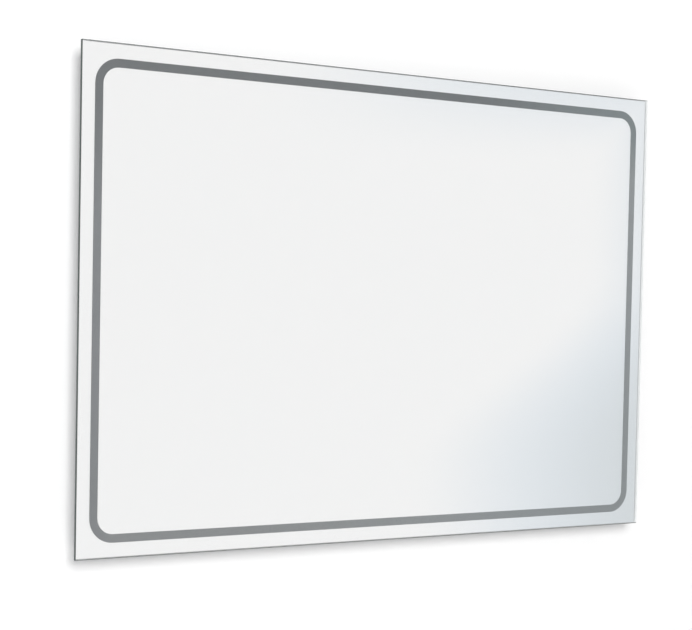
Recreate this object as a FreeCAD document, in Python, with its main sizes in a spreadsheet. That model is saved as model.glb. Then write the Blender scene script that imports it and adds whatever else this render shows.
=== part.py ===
"""A lighted bathroom mirror, 1000 x 700 mm, built the way it comes apart on a bench.

The frame of the part: +X to the right as one faces the mirror, +Z up, and the room in front at -Y.
The wall is the plane Y = 0. The origin lies on the wall, midway along the screw line of the wall rail.

Every piece but the rail is drawn about the centre of the glass, in its own body, and is then moved
down by hang_height. Depths are counted from the wall towards the room, so a depth d is Y = -d.
A sketch on the XZ plane has the normal -Y, so its offset is a depth and it is padded towards the room.
"""

import FreeCAD, Part
import math
import os
import re

import Sketcher

SIZES = {
    # the glass and what is laid on its back
    "glass_width": 1000,
    "glass_height": 700,
    "glass_thickness": 5,
    "glass_arris": 0.6,
    "silver_thickness": 0.2,
    "silver_edge_margin": 1,
    # the sandblasted band that the light comes through
    "band_inset": 21,
    "band_width": 12,
    "band_radius": 35,
    # foam tape between the frame and the glass
    "tape_thickness": 0.8,
    "tape_width": 5,
    "tape_joint_gap": 1,
    # the aluminium frame, a light channel with a return lip at the wall side
    "wall_gap": 2,
    "frame_depth": 27,
    "channel_depth": 15,
    "profile_wall": 1.5,
    "flange_width": 6,
    "band_margin_outside": 1,
    "band_margin_inside": 8,
    "rear_lip_width": 9.5,
    # the angle keys that hold the mitred corners together
    "key_leg_length": 45,
    "key_lip_margin": 1,
    "key_clearance": 0.2,
    "key_screw_diameter": 4,
    "key_screw_length": 6,
    "key_screw_first": 18,
    "key_screw_pitch": 18,
    "key_socket_width": 2,
    "key_socket_depth": 2.5,
    "key_access_diameter": 4.6,
    # rubber pads on the return lip
    "pad_length": 24,
    "pad_width": 8,
    "pad_radius": 3,
    "pad_corner_distance": 60,
    # the sheet that closes the back
    "panel_thickness": 1,
    "panel_edge_gap": 1.5,
    "panel_corner_radius": 5,
    "panel_screw_wall_gap": 7.5,
    "panel_screws_across": 5,
    "panel_screw_end_across": 80,
    "panel_screws_upright": 3,
    "panel_screw_end_upright": 150,
    # one kind of pan-head sheet screw, for the panel, the driver and the terminal box
    "screw_diameter": 3,
    "screw_length": 6,
    "screw_head_diameter": 6,
    "screw_head_height": 2,
    "screw_cross_width": 0.9,
    "screw_cross_span": 3.2,
    "screw_cross_depth": 1.2,
    "fixing_clearance": 0.1,
    # ventilation slots in the panel
    "vent_slots": 12,
    "vent_pitch": 12,
    "vent_slot_width": 4,
    "vent_slot_height": 24,
    "vent_gap": 14,
    # light strips and the ribbons that link them round the corners
    "strip_width": 10,
    "strip_thickness": 0.4,
    "lamp_pitch": 16.667,
    "lamp_length": 3.5,
    "lamp_breadth": 2.8,
    "lamp_height": 0.7,
    "lamp_end_margin": 5,
    "strip_corner_gap": 9,
    "ribbon_width": 3.2,
    "ribbon_thickness": 0.9,
    "ribbon_overlap": 3,
    # the rail on the wall, a Z section
    "rail_length": 600,
    "rail_thickness": 2,
    "rail_plate_height": 28,
    "rail_screw_height": 12,
    "rail_pocket_depth": 4.5,
    "rail_lip_height": 12,
    "rail_outer_spacing": 500,
    "rail_inner_spacing": 200,
    "rail_slot_length": 12,
    "rail_slot_width": 5.5,
    # the two hangers on the back panel, which hook behind the rail's lip
    "hang_drop": 120,
    "hanger_length": 90,
    "hanger_end_gap": 25,
    "hanger_thickness": 2,
    "hanger_plate_height": 22,
    "hook_clearance": 1,
    "rivet_height": 13,
    "rivets_per_hanger": 3,
    "rivet_pitch": 30,
    "rivet_diameter": 4,
    "rivet_head_diameter": 8,
    "rivet_head_height": 1.4,
    "rivet_tail_diameter": 5.6,
    "rivet_tail_height": 2.4,
    # where the electrical pieces sit on the back panel, from the glass centre
    "electrics_drop": 60,
    "driver_left": 90,
    "terminal_right": 100,
    # the lamp driver
    "driver_length": 170,
    "driver_width": 44,
    "driver_wall_height": 14,
    "driver_wall": 1.5,
    "driver_ear_length": 12,
    "lid_thickness": 1.5,
    "lid_rim_width": 1,
    "lid_rim_depth": 1.5,
    "lid_clearance": 0.2,
    "board_thickness": 1.6,
    "board_gap": 1.5,
    "standoff_height": 3,
    "standoff_diameter": 5,
    "standoff_inset": 6,
    "socket_length": 9,
    "socket_depth": 6,
    "transformer_length": 26,
    "transformer_width": 24,
    "transformer_height": 7,
    "winding_length": 14,
    "can_diameter": 10,
    "can_height": 7,
    "can_pitch": 13,
    "choke_width": 12,
    "choke_height": 6,
    # the terminal box, its cover and what is in it
    "box_length": 83,
    "box_width": 59,
    "box_height": 16,
    "box_wall": 1.5,
    "box_radius": 4,
    "box_ear_length": 11,
    "box_ear_thickness": 2,
    "hatch_margin": 4,
    "cover_thickness": 1.2,
    "cover_overlap": 4,
    "block_length": 26,
    "block_width": 16,
    "block_height": 13,
    "block_right": 16,
    "block_drop": 12,
    "way_pitch": 8,
    "block_screw_diameter": 3,
    "block_screw_length": 4.5,
    "block_screw_sink": 0.6,
    "block_screw_spread": 7,
    # the rubber bush that the mains cable comes in through
    "inlet_left": 22,
    "inlet_bore": 8,
    "inlet_neck_diameter": 12,
    "inlet_flange_diameter": 16,
    "inlet_flange_thickness": 1.5,
    # leads inside the case
    "mains_lead_diameter": 2,
    "mains_lead_pitch": 4,
    "mains_lead_edge": 6.5,
    "lead_insert": 5,
    "lead_height": 2.2,
    "lead_hole_clearance": 0.2,
    "lamp_lead_diameter": 1.6,
    "lamp_lead_pitch": 5.2,
    "lamp_lead_inset": 100,
    "lamp_lead_entry_rise": 40,
    "lamp_lead_ramp": 26,
    "channel_bush_depth": 7,
    "channel_bush_bore": 7.4,
    "channel_bush_neck": 9.4,
    "channel_bush_flange": 12,
    "channel_bush_flange_thickness": 1.2,
    # clips that hold the lamp leads on the panel
    "clip_length": 8,
    "clip_width": 13,
    "clip_height": 4.2,
    "clip_tunnel_height": 2.2,
    "clip_tunnel_clearance": 0.4,
    # the earth stud on the panel
    "earth_rise": 60,
    "earth_screw_diameter": 4,
    "earth_screw_length": 6,
    "earth_head_diameter": 7.5,
    "earth_head_height": 2.6,
    "earth_nut_width": 7,
    "earth_nut_height": 3,
    "tag_thickness": 0.8,
    "tag_ring_diameter": 9,
    "tag_neck_width": 3.4,
    "tag_barrel_length": 7,
    "tag_barrel_distance": 6,
    # a blank rating label on the back
    "label_length": 90,
    "label_width": 50,
    "label_radius": 3,
    "label_thickness": 0.15,
    "label_right": 250,
    "label_drop": 60,
}

DERIVED = {
    # depths from the wall
    "frame_front": "wall_gap + frame_depth",
    "silver_rear": "frame_front + tape_thickness",
    "glass_rear": "silver_rear + silver_thickness",
    "lip_front": "wall_gap + profile_wall",
    "channel_floor": "frame_front - channel_depth",
    "floor_rear": "channel_floor - profile_wall",
    "panel_rear": "floor_rear - panel_thickness",
    "strip_front": "channel_floor + strip_thickness",
    "cover_rear": "panel_rear - cover_thickness",
    # distances inwards from the edge of the glass
    "frame_inset": "band_inset - band_margin_outside - flange_width",
    "outer_flange_end": "frame_inset + flange_width",
    "inner_flange_end": "band_inset + band_width + band_margin_inside",
    "frame_inner": "inner_flange_end + flange_width",
    "frame_width": "frame_inner - frame_inset",
    "lip_end": "frame_inset + rear_lip_width",
    "panel_inset": "lip_end + panel_edge_gap",
    "panel_screw_line": "frame_inner - profile_wall - panel_screw_wall_gap",
    "band_line": "band_inset + band_width / 2",
    "strip_end": "band_line + strip_corner_gap",
    "key_width": "rear_lip_width - profile_wall - key_lip_margin",
    "key_line": "frame_inset + profile_wall + key_width / 2",
    # fits
    "screw_hole_radius": "screw_diameter / 2 + fixing_clearance",
    "rivet_hole_radius": "rivet_diameter / 2 + fixing_clearance",
    "mains_hole_radius": "mains_lead_diameter / 2 + lead_hole_clearance",
    "lamp_hole_radius": "lamp_lead_diameter / 2 + lead_hole_clearance",
    # the rail and the hangers, above the rail's screw line, which lies hang_height above the glass centre
    "hang_height": "glass_height / 2 - hang_drop",
    "hanger_spacing": "rail_length - hanger_length - 2 * hanger_end_gap",
    "rail_top": "rail_plate_height - rail_screw_height",
    "rail_lip_top": "rail_top + rail_lip_height",
    "hook_rear": "(rail_pocket_depth - hanger_thickness) / 2",
    "hook_bottom": "rail_top + hook_clearance",
    "rivet_line": "rail_lip_top + rivet_height",
    # the electrical pieces
    "driver_lid_rear": "floor_rear + driver_wall_height",
    "board_rear": "floor_rear + driver_wall + standoff_height",
    "board_front": "board_rear + board_thickness",
    "lead_depth": "board_front + lead_height",
    "board_length": "driver_length - 2 * driver_wall - 2 * board_gap",
    "board_width": "driver_width - 2 * driver_wall - 2 * board_gap",
    "live_rise": "driver_width / 2 - driver_wall - mains_lead_edge",
    "neutral_rise": "live_rise + mains_lead_pitch",
    "box_floor": "floor_rear + box_height - box_wall",
    "block_rear": "box_floor - block_height",
    "block_top": "block_width / 2 - block_drop",
    "hatch_length": "box_length - 2 * box_wall - 2 * hatch_margin",
    "hatch_width": "box_width - 2 * box_wall - 2 * hatch_margin",
    "box_screw_reach": "box_length / 2 + box_ear_length / 2",
    "cover_length": "box_length + 2 * box_ear_length",
    "cover_width": "hatch_width + 2 * cover_overlap",
    "lamp_lead_left": "glass_width / 2 - lamp_lead_inset",
    "lamp_entry_depth": "channel_floor + channel_bush_depth",
    "lamp_entry_height": "-glass_height / 2 + strip_end + lamp_lead_entry_rise",
    "lamp_lead_rest": "floor_rear + lamp_lead_diameter / 2",
    "tag_front": "floor_rear + tag_thickness",
}

doc = FreeCAD.newDocument("lighted_mirror")
sheet = doc.addObject("Spreadsheet::Sheet", "Sizes")
for row, (size_name, number) in enumerate(SIZES.items(), start=1):
    sheet.set(f"A{row}", size_name)
    sheet.set(f"B{row}", str(number))
    sheet.setAlias(f"B{row}", size_name)
doc.recompute()


# ---- expressions, sketches and features ----

def expand(text):
    """An expression in size names, written out in cells of the sheet."""
    def swap(match):
        word = match.group(0)
        if word in DERIVED:
            return "(" + expand(DERIVED[word]) + ")"
        return "Sizes." + word if word in SIZES else word
    return re.sub(r"[a-z][a-z_]+", swap, str(text))


def value(text):
    """The present value of an expression in size names, in millimetres."""
    return float(sheet.evalExpression(expand(text)))


def bind(thing, prop, text):
    """Tie one property of an object to the sheet."""
    thing.setExpression(prop, expand(text))


def new_body(label, hung=True):
    """A body of its own for one piece; a hung one is moved down from the glass centre by hang_height."""
    body = doc.addObject("PartDesign::Body", label)
    body.Label = label
    body.AllowCompound = True
    if hung:
        bind(body, ".Placement.Base.z", "-hang_height")
    return body


def origin_of(body, role):
    """One of the body's own planes or axes."""
    return next(feature for feature in body.Origin.OriginFeatures if feature.Role == role)


def new_sketch(body, name, plane="XZ_Plane", offset="0", across="0", up="0"):
    """A sketch on a plane of its body, moved along the plane's normal and within the plane."""
    sketch = body.newObject("Sketcher::SketchObject", body.Label + "_" + name)
    sketch.AttachmentSupport = [(origin_of(body, plane), "")]
    sketch.MapMode = "FlatFace"
    bind(sketch, ".AttachmentOffset.Base.x", across)
    bind(sketch, ".AttachmentOffset.Base.y", up)
    bind(sketch, ".AttachmentOffset.Base.z", offset)
    return sketch


def constrain(sketch, kind, text, *references):
    """Add one dimension to a sketch and tie it to the sheet."""
    index = sketch.addConstraint(Sketcher.Constraint(kind, *references, value(text)))
    bind(sketch, f"Constraints[{index}]", text)


def pin_point(sketch, geometry, end, x, y):
    """Fix a point of a sketch by its two coordinates."""
    constrain(sketch, "DistanceX", x, -1, 1, geometry, end)
    constrain(sketch, "DistanceY", y, -1, 1, geometry, end)


def draw_circle(sketch, x, y, radius):
    """A circle about (x, y)."""
    centre = FreeCAD.Vector(value(x), value(y), 0)
    circle = Part.Circle(centre, FreeCAD.Vector(0, 0, 1), value(radius))
    index = sketch.addGeometry(circle, False)
    pin_point(sketch, index, 3, x, y)
    constrain(sketch, "Radius", radius, index)


def draw_outline(sketch, corners):
    """A closed outline through corners (x, y) or (x, y, radius); radii only join level and upright runs."""
    points = [FreeCAD.Vector(value(corner[0]), value(corner[1]), 0) for corner in corners]
    runs = [(points[(i + 1) % len(points)] - points[i]).normalize() for i in range(len(points))]
    pieces = []
    for i, corner in enumerate(corners):
        into, out = runs[i - 1], runs[i]
        if len(corner) == 2:
            pieces.append(("corner", points[i], points[i], corner[0], corner[1]))
            continue
        x, y, radius = corner
        start = points[i] - into * value(radius)
        end = points[i] + out * value(radius)
        start_x = f"({x}) - {round(into.x)} * ({radius})"
        start_y = f"({y}) - {round(into.y)} * ({radius})"
        end_x = f"({x}) + {round(out.x)} * ({radius})"
        end_y = f"({y}) + {round(out.y)} * ({radius})"
        pieces.append(("arc", start, end, start_x, start_y, end_x, end_y, into, out, radius))
    ends = []
    for i, piece in enumerate(pieces):
        following = pieces[(i + 1) % len(pieces)]
        if piece[0] == "arc":
            start, end, start_x, start_y, end_x, end_y, into, out, radius = piece[1:]
            centre = start + out * value(radius)
            turn = into.x * out.y - into.y * out.x
            first, last = (start, end) if turn > 0 else (end, start)
            angles = [math.atan2(p.y - centre.y, p.x - centre.x) for p in (first, last)]
            if angles[1] <= angles[0]:
                angles[1] += 2 * math.pi
            circle = Part.Circle(centre, FreeCAD.Vector(0, 0, 1), value(radius))
            index = sketch.addGeometry(Part.ArcOfCircle(circle, *angles), False)
            entry, leave = (1, 2) if turn > 0 else (2, 1)
            pin_point(sketch, index, entry, start_x, start_y)
            constrain(sketch, "Radius", radius, index)
            ends.append((index, entry, leave))
            leave_x, leave_y = end_x, end_y
        else:
            leave_x, leave_y = piece[3], piece[4]
        if (following[1] - piece[2]).Length > 1e-6:
            index = sketch.addGeometry(Part.LineSegment(piece[2], following[1]), False)
            pin_point(sketch, index, 1, leave_x, leave_y)
            ends.append((index, 1, 2))
    for i, (index, entry, leave) in enumerate(ends):
        next_index, next_entry, _ = ends[(i + 1) % len(ends)]
        sketch.addConstraint(Sketcher.Constraint("Coincident", index, leave, next_index, next_entry))


def draw_rectangle(sketch, x, y, length, width, radius=None):
    """A rectangle about (x, y), with rounded corners if a radius is given."""
    corners = []
    for side_x, side_y in ((-1, -1), (1, -1), (1, 1), (-1, 1)):
        place = (f"({x}) + {side_x} * ({length}) / 2", f"({y}) + {side_y} * ({width}) / 2")
        corners.append(place if radius is None else (*place, radius))
    draw_outline(sketch, corners)


def solid_volume(body):
    """The volume of what a body holds so far."""
    return body.Shape.Volume if body.Tip is not None and not body.Shape.isNull() else 0.0


def add_pad(body, sketch, length, symmetric=False):
    """Pad a sketch along its normal, or evenly to both sides."""
    doc.recompute()
    before = solid_volume(body)
    pad = body.newObject("PartDesign::Pad", sketch.Label + "_pad")
    pad.Profile = sketch
    pad.SideType = "Symmetric" if symmetric else "One side"
    bind(pad, "Length", length)
    doc.recompute()
    if solid_volume(body) <= before:
        raise RuntimeError(pad.Label + " adds nothing")
    return pad


def add_pocket(body, sketch, depth):
    """Cut a sketch's area away along its normal."""
    doc.recompute()
    before = solid_volume(body)
    pocket = body.newObject("PartDesign::Pocket", sketch.Label + "_pocket")
    pocket.Profile = sketch
    pocket.Reversed = True
    bind(pocket, "Length", depth)
    doc.recompute()
    if solid_volume(body) >= before:
        raise RuntimeError(pocket.Label + " cuts nothing")
    return pocket


def add_turned(body, sketch):
    """Turn a sketch about its own horizontal axis."""
    doc.recompute()
    turned = body.newObject("PartDesign::Revolution", sketch.Label + "_turned")
    turned.Profile = sketch
    turned.ReferenceAxis = (sketch, ["H_Axis"])
    turned.Angle = 360
    doc.recompute()
    return turned


def repeat(body, originals, patterns):
    """Repeat features by a chain of patterns: (axis, span, count) is a row, a plane's role a mirror image."""
    chain = body.newObject("PartDesign::MultiTransform", originals[0].Label + "_repeat")
    chain.Originals = originals
    steps = []
    for pattern in patterns:
        if isinstance(pattern, str):
            step = body.newObject("PartDesign::Mirrored", chain.Label + "_mirror")
            step.MirrorPlane = (origin_of(body, pattern), [""])
        else:
            axis, span, count = pattern
            step = body.newObject("PartDesign::LinearPattern", chain.Label + "_row")
            step.Direction = (origin_of(body, axis), [""])
            bind(step, "Length", span)
            bind(step, "Occurrences", count)
        steps.append(step)
    chain.Transformations = steps
    body.Tip = chain
    doc.recompute()
    return chain


def face_pointing(shape, axis, sign):
    """The name of the face that lies furthest along an axis."""
    faces = enumerate(shape.Faces, start=1)
    number, _ = max(faces, key=lambda item: sign * getattr(item[1].CenterOfMass, axis))
    return f"Face{number}"


def draw_screw(body, name, x, z, seat, length):
    """A pan-head screw put in from the wall side, with its head on the face at depth seat."""
    profile = new_sketch(body, name, "YZ_Plane", offset=x, up=z)
    head = f"({seat}) - screw_head_height"
    draw_outline(profile, [
        (f"-({seat}) - ({length})", "0"),
        (f"-({seat}) - ({length})", "screw_diameter / 2"),
        (f"-({seat})", "screw_diameter / 2"),
        (f"-({seat})", "screw_head_diameter / 2"),
        (f"-({head})", "screw_head_diameter / 2", "screw_head_height / 2"),
        (f"-({head})", "0"),
    ])
    turned = add_turned(body, profile)
    cross = new_sketch(body, name + "_cross", offset=head)
    arm = "screw_cross_span / 2"
    half = "screw_cross_width / 2"
    corners = []
    for turn in range(4):
        for a, b in ((half, arm), (half, half), (arm, half)):
            along, across = (a, b) if turn % 2 == 0 else (b, a)
            sign_x = 1 if turn in (0, 1) else -1
            sign_z = 1 if turn in (0, 3) else -1
            corners.append((f"({x}) + {sign_x} * {along}", f"({z}) + {sign_z} * {across}"))
    draw_outline(cross, corners)
    pocket = add_pocket(body, cross, "screw_cross_depth")
    return [turned, pocket]


# ---- the rail on the wall ----

def make_wall_rail():
    """The Z section screwed to the wall: plate, web, and the standing lip that carries the mirror."""
    rail = new_body("wall_rail", hung=False)
    section = new_sketch(rail, "section", "YZ_Plane")
    lip_front = "(rail_pocket_depth + rail_thickness)"
    draw_outline(section, [
        ("0", "-rail_screw_height"),
        ("0", "rail_top"),
        ("-rail_pocket_depth", "rail_top"),
        ("-rail_pocket_depth", "rail_lip_top"),
        (f"-{lip_front}", "rail_lip_top"),
        (f"-{lip_front}", "rail_top - rail_thickness"),
        ("-rail_thickness", "rail_top - rail_thickness"),
        ("-rail_thickness", "-rail_screw_height"),
    ])
    add_pad(rail, section, "rail_length", symmetric=True)
    slots = new_sketch(rail, "slots")
    for spacing in ("rail_outer_spacing", "rail_inner_spacing"):
        for side in (-1, 1):
            draw_rectangle(slots, f"{side} * {spacing} / 2", "0", "rail_slot_length", "rail_slot_width",
                           "rail_slot_width / 2")
    add_pocket(rail, slots, "rail_thickness")
    return rail


# ---- the glass and its silvering ----

def make_glass():
    """The float glass, its edges ground to a small arris all round, front and back."""
    glass = new_body("mirror_glass")
    outline = new_sketch(glass, "outline", offset="glass_rear")
    draw_rectangle(outline, "0", "0", "glass_width", "glass_height")
    pad = add_pad(glass, outline, "glass_thickness")
    chamfer = glass.newObject("PartDesign::Chamfer", "glass_edges")
    chamfer.Base = (pad, [face_pointing(pad.Shape, "y", -1), face_pointing(pad.Shape, "y", 1)])
    bind(chamfer, "Size", "glass_arris")
    doc.recompute()
    return glass


def make_silver():
    """The silver and paint on the back of the glass: a border outside the clear band, a field inside it."""
    border = new_body("silver_border")
    outline = new_sketch(border, "outline", offset="silver_rear")
    draw_rectangle(outline, "0", "0", "glass_width - 2 * silver_edge_margin",
                   "glass_height - 2 * silver_edge_margin")
    draw_rectangle(outline, "0", "0", "glass_width - 2 * band_inset", "glass_height - 2 * band_inset",
                   "band_radius")
    add_pad(border, outline, "silver_thickness")
    field = new_body("silver_field")
    outline = new_sketch(field, "outline", offset="silver_rear")
    inset = "(band_inset + band_width)"
    draw_rectangle(outline, "0", "0", f"glass_width - 2 * {inset}", f"glass_height - 2 * {inset}",
                   "band_radius - band_width")
    add_pad(field, outline, "silver_thickness")
    return [border, field]


def make_tape(label, flange_end_near, flange_end_far):
    """Four strips of foam tape along one pair of flanges, butted at the corners with a small gap."""
    tape = new_body(label)
    strips = new_sketch(tape, "strips", offset="frame_front")
    middle = f"(({flange_end_near}) + ({flange_end_far})) / 2"
    for side in (-1, 1):
        draw_rectangle(strips, "0", f"{side} * (glass_height / 2 - {middle})",
                       f"glass_width - 2 * {middle} + tape_width", "tape_width")
        draw_rectangle(strips, f"{side} * (glass_width / 2 - {middle})", "0", "tape_width",
                       f"glass_height - 2 * {middle} - tape_width - 2 * tape_joint_gap")
    add_pad(tape, strips, "tape_thickness")
    return tape


# ---- the frame ----

SIDES = {
    # name: (its span, the distance across to the opposite side, its turn from the top side, its panel screws,
    #        the distance from the glass corner to the first of them)
    "top": ("glass_width", "glass_height", 0, "panel_screws_across", "panel_screw_end_across"),
    "right": ("glass_height", "glass_width", 90, "panel_screws_upright", "panel_screw_end_upright"),
    "bottom": ("glass_width", "glass_height", 180, "panel_screws_across", "panel_screw_end_across"),
    "left": ("glass_height", "glass_width", 270, "panel_screws_upright", "panel_screw_end_upright"),
}


def turn_about_depth(thing, degrees):
    """Turn a piece that was drawn for the top or the top right corner to its own side of the mirror."""
    thing.Placement.Rotation = FreeCAD.Rotation(FreeCAD.Vector(0, 1, 0), degrees)


def make_frame_side(name):
    """One mitred length of the channel profile, drawn as the top side."""
    span, reach, degrees, screws, screw_end = SIDES[name]
    side = new_body("frame_" + name)
    section = new_sketch(side, "section", "YZ_Plane")
    inner = "(frame_inner - profile_wall)"
    outer = "(frame_inset + profile_wall)"
    flange_rear = "(frame_front - profile_wall)"
    stations = [
        ("frame_inset", "wall_gap"), ("lip_end", "wall_gap"), ("lip_end", "lip_front"), (outer, "lip_front"),
        (outer, "floor_rear"), ("frame_inner", "floor_rear"), ("frame_inner", "frame_front"),
        ("inner_flange_end", "frame_front"), ("inner_flange_end", flange_rear), (inner, flange_rear),
        (inner, "channel_floor"), (outer, "channel_floor"), (outer, flange_rear),
        ("outer_flange_end", flange_rear), ("outer_flange_end", "frame_front"), ("frame_inset", "frame_front"),
    ]
    draw_outline(section, [(f"-({depth})", f"{reach} / 2 - {inset}") for inset, depth in stations])
    add_pad(side, section, f"{span} - 2 * frame_inset", symmetric=True)

    mitres = new_sketch(side, "mitres")
    corner_x = f"({span} / 2 - frame_inset)"
    corner_z = f"({reach} / 2 - frame_inset)"
    cut = "(frame_width + profile_wall)"
    for end in (-1, 1):
        draw_outline(mitres, [
            (f"{end} * {corner_x}", corner_z),
            (f"{end} * {corner_x}", f"{corner_z} - {cut}"),
            (f"{end} * ({corner_x} - {cut})", f"{corner_z} - {cut}"),
        ])
    add_pocket(side, mitres, "frame_front + profile_wall")

    hole = new_sketch(side, "screw_hole", offset="floor_rear")
    draw_circle(hole, f"{screw_end} - {span} / 2", f"{reach} / 2 - panel_screw_line", "screw_hole_radius")
    holes = add_pocket(side, hole, "profile_wall")
    repeat(side, [holes], [("X_Axis", f"{span} - 2 * {screw_end}", screws)])

    access = new_sketch(side, "key_access", offset="wall_gap")
    for end in (-1, 1):
        for step in (0, 1):
            away = f"frame_inset + profile_wall + key_screw_first + {step} * key_screw_pitch"
            draw_circle(access, f"{end} * ({span} / 2 - ({away}))", f"{reach} / 2 - key_line",
                        "key_access_diameter / 2")
    add_pocket(side, access, "profile_wall")

    if name == "left":
        entry = new_sketch(side, "lead_entry", "XY_Plane", offset=f"{reach} / 2 - frame_inner")
        draw_circle(entry, "lamp_entry_height", "-lamp_entry_depth", "channel_bush_neck / 2")
        add_pocket(side, entry, "profile_wall")
    turn_about_depth(side, degrees)
    return side


CORNERS = {
    # name: (side along X, side along Z, turn from the top right corner)
    "top_right": (1, 1, 0),
    "bottom_right": (1, -1, 90),
    "bottom_left": (-1, -1, 180),
    "top_left": (-1, 1, 270),
}


def seat_at_corner(body, corner, inset):
    """Move a piece drawn about the top right corner to its own corner, at an inset from the glass edges."""
    side_x, side_z, degrees = CORNERS[corner]
    turn_about_depth(body, degrees)
    bind(body, ".Placement.Base.x", f"{side_x} * (glass_width / 2 - ({inset}))")
    bind(body, ".Placement.Base.z", f"{side_z} * (glass_height / 2 - ({inset})) - hang_height")


def make_corner_key(corner):
    """The angle inside two mitred sides, behind the channel floor, with tapped holes for its grub screws."""
    key = new_body("corner_key_" + corner, hung=False)
    outline = new_sketch(key, "outline", offset="lip_front + key_clearance")
    draw_outline(outline, [
        ("0", "0"), ("-key_leg_length", "0"), ("-key_leg_length", "-key_width"),
        ("-key_width", "-key_width"), ("-key_width", "-key_leg_length"), ("0", "-key_leg_length"),
    ])
    thickness = "floor_rear - lip_front - key_clearance"
    add_pad(key, outline, thickness)
    holes = new_sketch(key, "holes", offset="lip_front + key_clearance")
    for step in (0, 1):
        along = f"-(key_screw_first + {step} * key_screw_pitch)"
        radius = "key_screw_diameter / 2 + fixing_clearance"
        draw_circle(holes, along, "-key_width / 2", radius)
        draw_circle(holes, "-key_width / 2", along, radius)
    add_pocket(key, holes, thickness)
    seat_at_corner(key, corner, "frame_inset + profile_wall")
    return key


def draw_hexagon(sketch, x, z, width):
    """A hexagon of a given width across its flats."""
    corners = []
    for step in range(6):
        angle = f"{60 * step} deg"
        radius = f"({width}) / sqrt(3)"
        corners.append((f"({x}) + {radius} * cos({angle})", f"({z}) + {radius} * sin({angle})"))
    draw_outline(sketch, corners)


def make_key_screws():
    """The grub screws of all four keys, which bear on the channel floor; their sockets face the wall."""
    screws = new_body("corner_key_screws")
    rear = "(floor_rear - key_screw_length)"
    socket_end = new_sketch(screws, "socket_end", offset=rear)
    tip = new_sketch(screws, "tip", offset=f"{rear} + key_socket_depth")
    corner = "frame_inset + profile_wall"
    for step in (0, 1):
        away = f"({corner} + key_screw_first + {step} * key_screw_pitch)"
        places = [(f"glass_width / 2 - {away}", "glass_height / 2 - key_line"),
                  ("glass_width / 2 - key_line", f"glass_height / 2 - {away}")]
        for x, z in places:
            draw_circle(socket_end, x, z, "key_screw_diameter / 2")
            draw_hexagon(socket_end, x, z, "key_socket_width")
            draw_circle(tip, x, z, "key_screw_diameter / 2")
    pads = [add_pad(screws, socket_end, "key_socket_depth"),
            add_pad(screws, tip, "key_screw_length - key_socket_depth")]
    repeat(screws, pads, ["YZ_Plane", "XY_Plane"])
    return screws


def make_wall_pads():
    """Four rubber pads on the return lip, which keep the frame off the wall."""
    pads = []
    for corner, (side_x, side_z, _) in CORNERS.items():
        pad = new_body("wall_pad_" + corner, hung=False)
        outline = new_sketch(pad, "outline")
        draw_rectangle(outline, "0", "0", "pad_length", "pad_width", "pad_radius")
        add_pad(pad, outline, "wall_gap")
        bind(pad, ".Placement.Base.x", f"{side_x} * (glass_width / 2 - frame_inset - pad_corner_distance)")
        bind(pad, ".Placement.Base.z",
             f"{side_z} * (glass_height / 2 - frame_inset - rear_lip_width / 2) - hang_height")
        pads.append(pad)
    return pads


# ---- the light strips ----

def make_light_strip(name):
    """A light strip on one channel floor: a flexible board and its row of lamps, drawn as the top one."""
    span, reach, degrees, _, _ = SIDES[name]
    strip = new_body("light_strip_" + name)
    line = f"{reach} / 2 - band_line"
    length = f"({span} - 2 * strip_end)"
    board = new_sketch(strip, "board", offset="channel_floor")
    draw_rectangle(board, "0", line, length, "strip_width")
    add_pad(strip, board, "strip_thickness")
    lamps = f"floor(({length} - 2 * lamp_end_margin) / lamp_pitch)"
    lamp = new_sketch(strip, "lamp", offset="strip_front")
    draw_rectangle(lamp, f"-{lamps} * lamp_pitch / 2", line, "lamp_length", "lamp_breadth")
    pad = add_pad(strip, lamp, "lamp_height")
    repeat(strip, [pad], [("X_Axis", f"{lamps} * lamp_pitch", f"{lamps} + 1")])
    turn_about_depth(strip, degrees)
    return strip


def make_link_ribbon(corner):
    """The flat two-core ribbon that carries current from one strip to the next round a corner."""
    ribbon = new_body("link_ribbon_" + corner, hung=False)
    outline = new_sketch(ribbon, "outline", offset="strip_front")
    half = "(ribbon_width / 2)"
    start = "-(strip_corner_gap + ribbon_overlap)"
    draw_outline(outline, [
        (start, f"-{half}"), (start, half),
        (half, half, f"(strip_corner_gap + {half})"),
        (half, start), (f"-{half}", start),
        (f"-{half}", f"-{half}", f"(strip_corner_gap - {half})"),
    ])
    add_pad(ribbon, outline, "ribbon_thickness")
    seat_at_corner(ribbon, corner, "band_line")
    return ribbon


# ---- the back panel and what carries it ----

PANEL_ROWS = [
    # (x of the first hole, z of the first hole, patterns)
    ("panel_screw_end_across - glass_width / 2", "glass_height / 2 - panel_screw_line",
     [("X_Axis", "glass_width - 2 * panel_screw_end_across", "panel_screws_across"), "XY_Plane"]),
    ("panel_screw_line - glass_width / 2", "panel_screw_end_upright - glass_height / 2",
     [("Z_Axis", "glass_height - 2 * panel_screw_end_upright", "panel_screws_upright"), "YZ_Plane"]),
]
RIVET_ROW = [("X_Axis", "(rivets_per_hanger - 1) * rivet_pitch", "rivets_per_hanger"), "YZ_Plane"]
FIRST_RIVET = ("-hanger_spacing / 2 - (rivets_per_hanger - 1) * rivet_pitch / 2", "hang_height + rivet_line")
DRIVER_PLACE = ("-driver_left", "-electrics_drop")
BOX_PLACE = ("terminal_right", "-electrics_drop")
INLET_PLACE = ("terminal_right - inlet_left", "-electrics_drop")
EARTH_PLACE = ("terminal_right + block_right + way_pitch", "earth_rise - electrics_drop")


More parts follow.
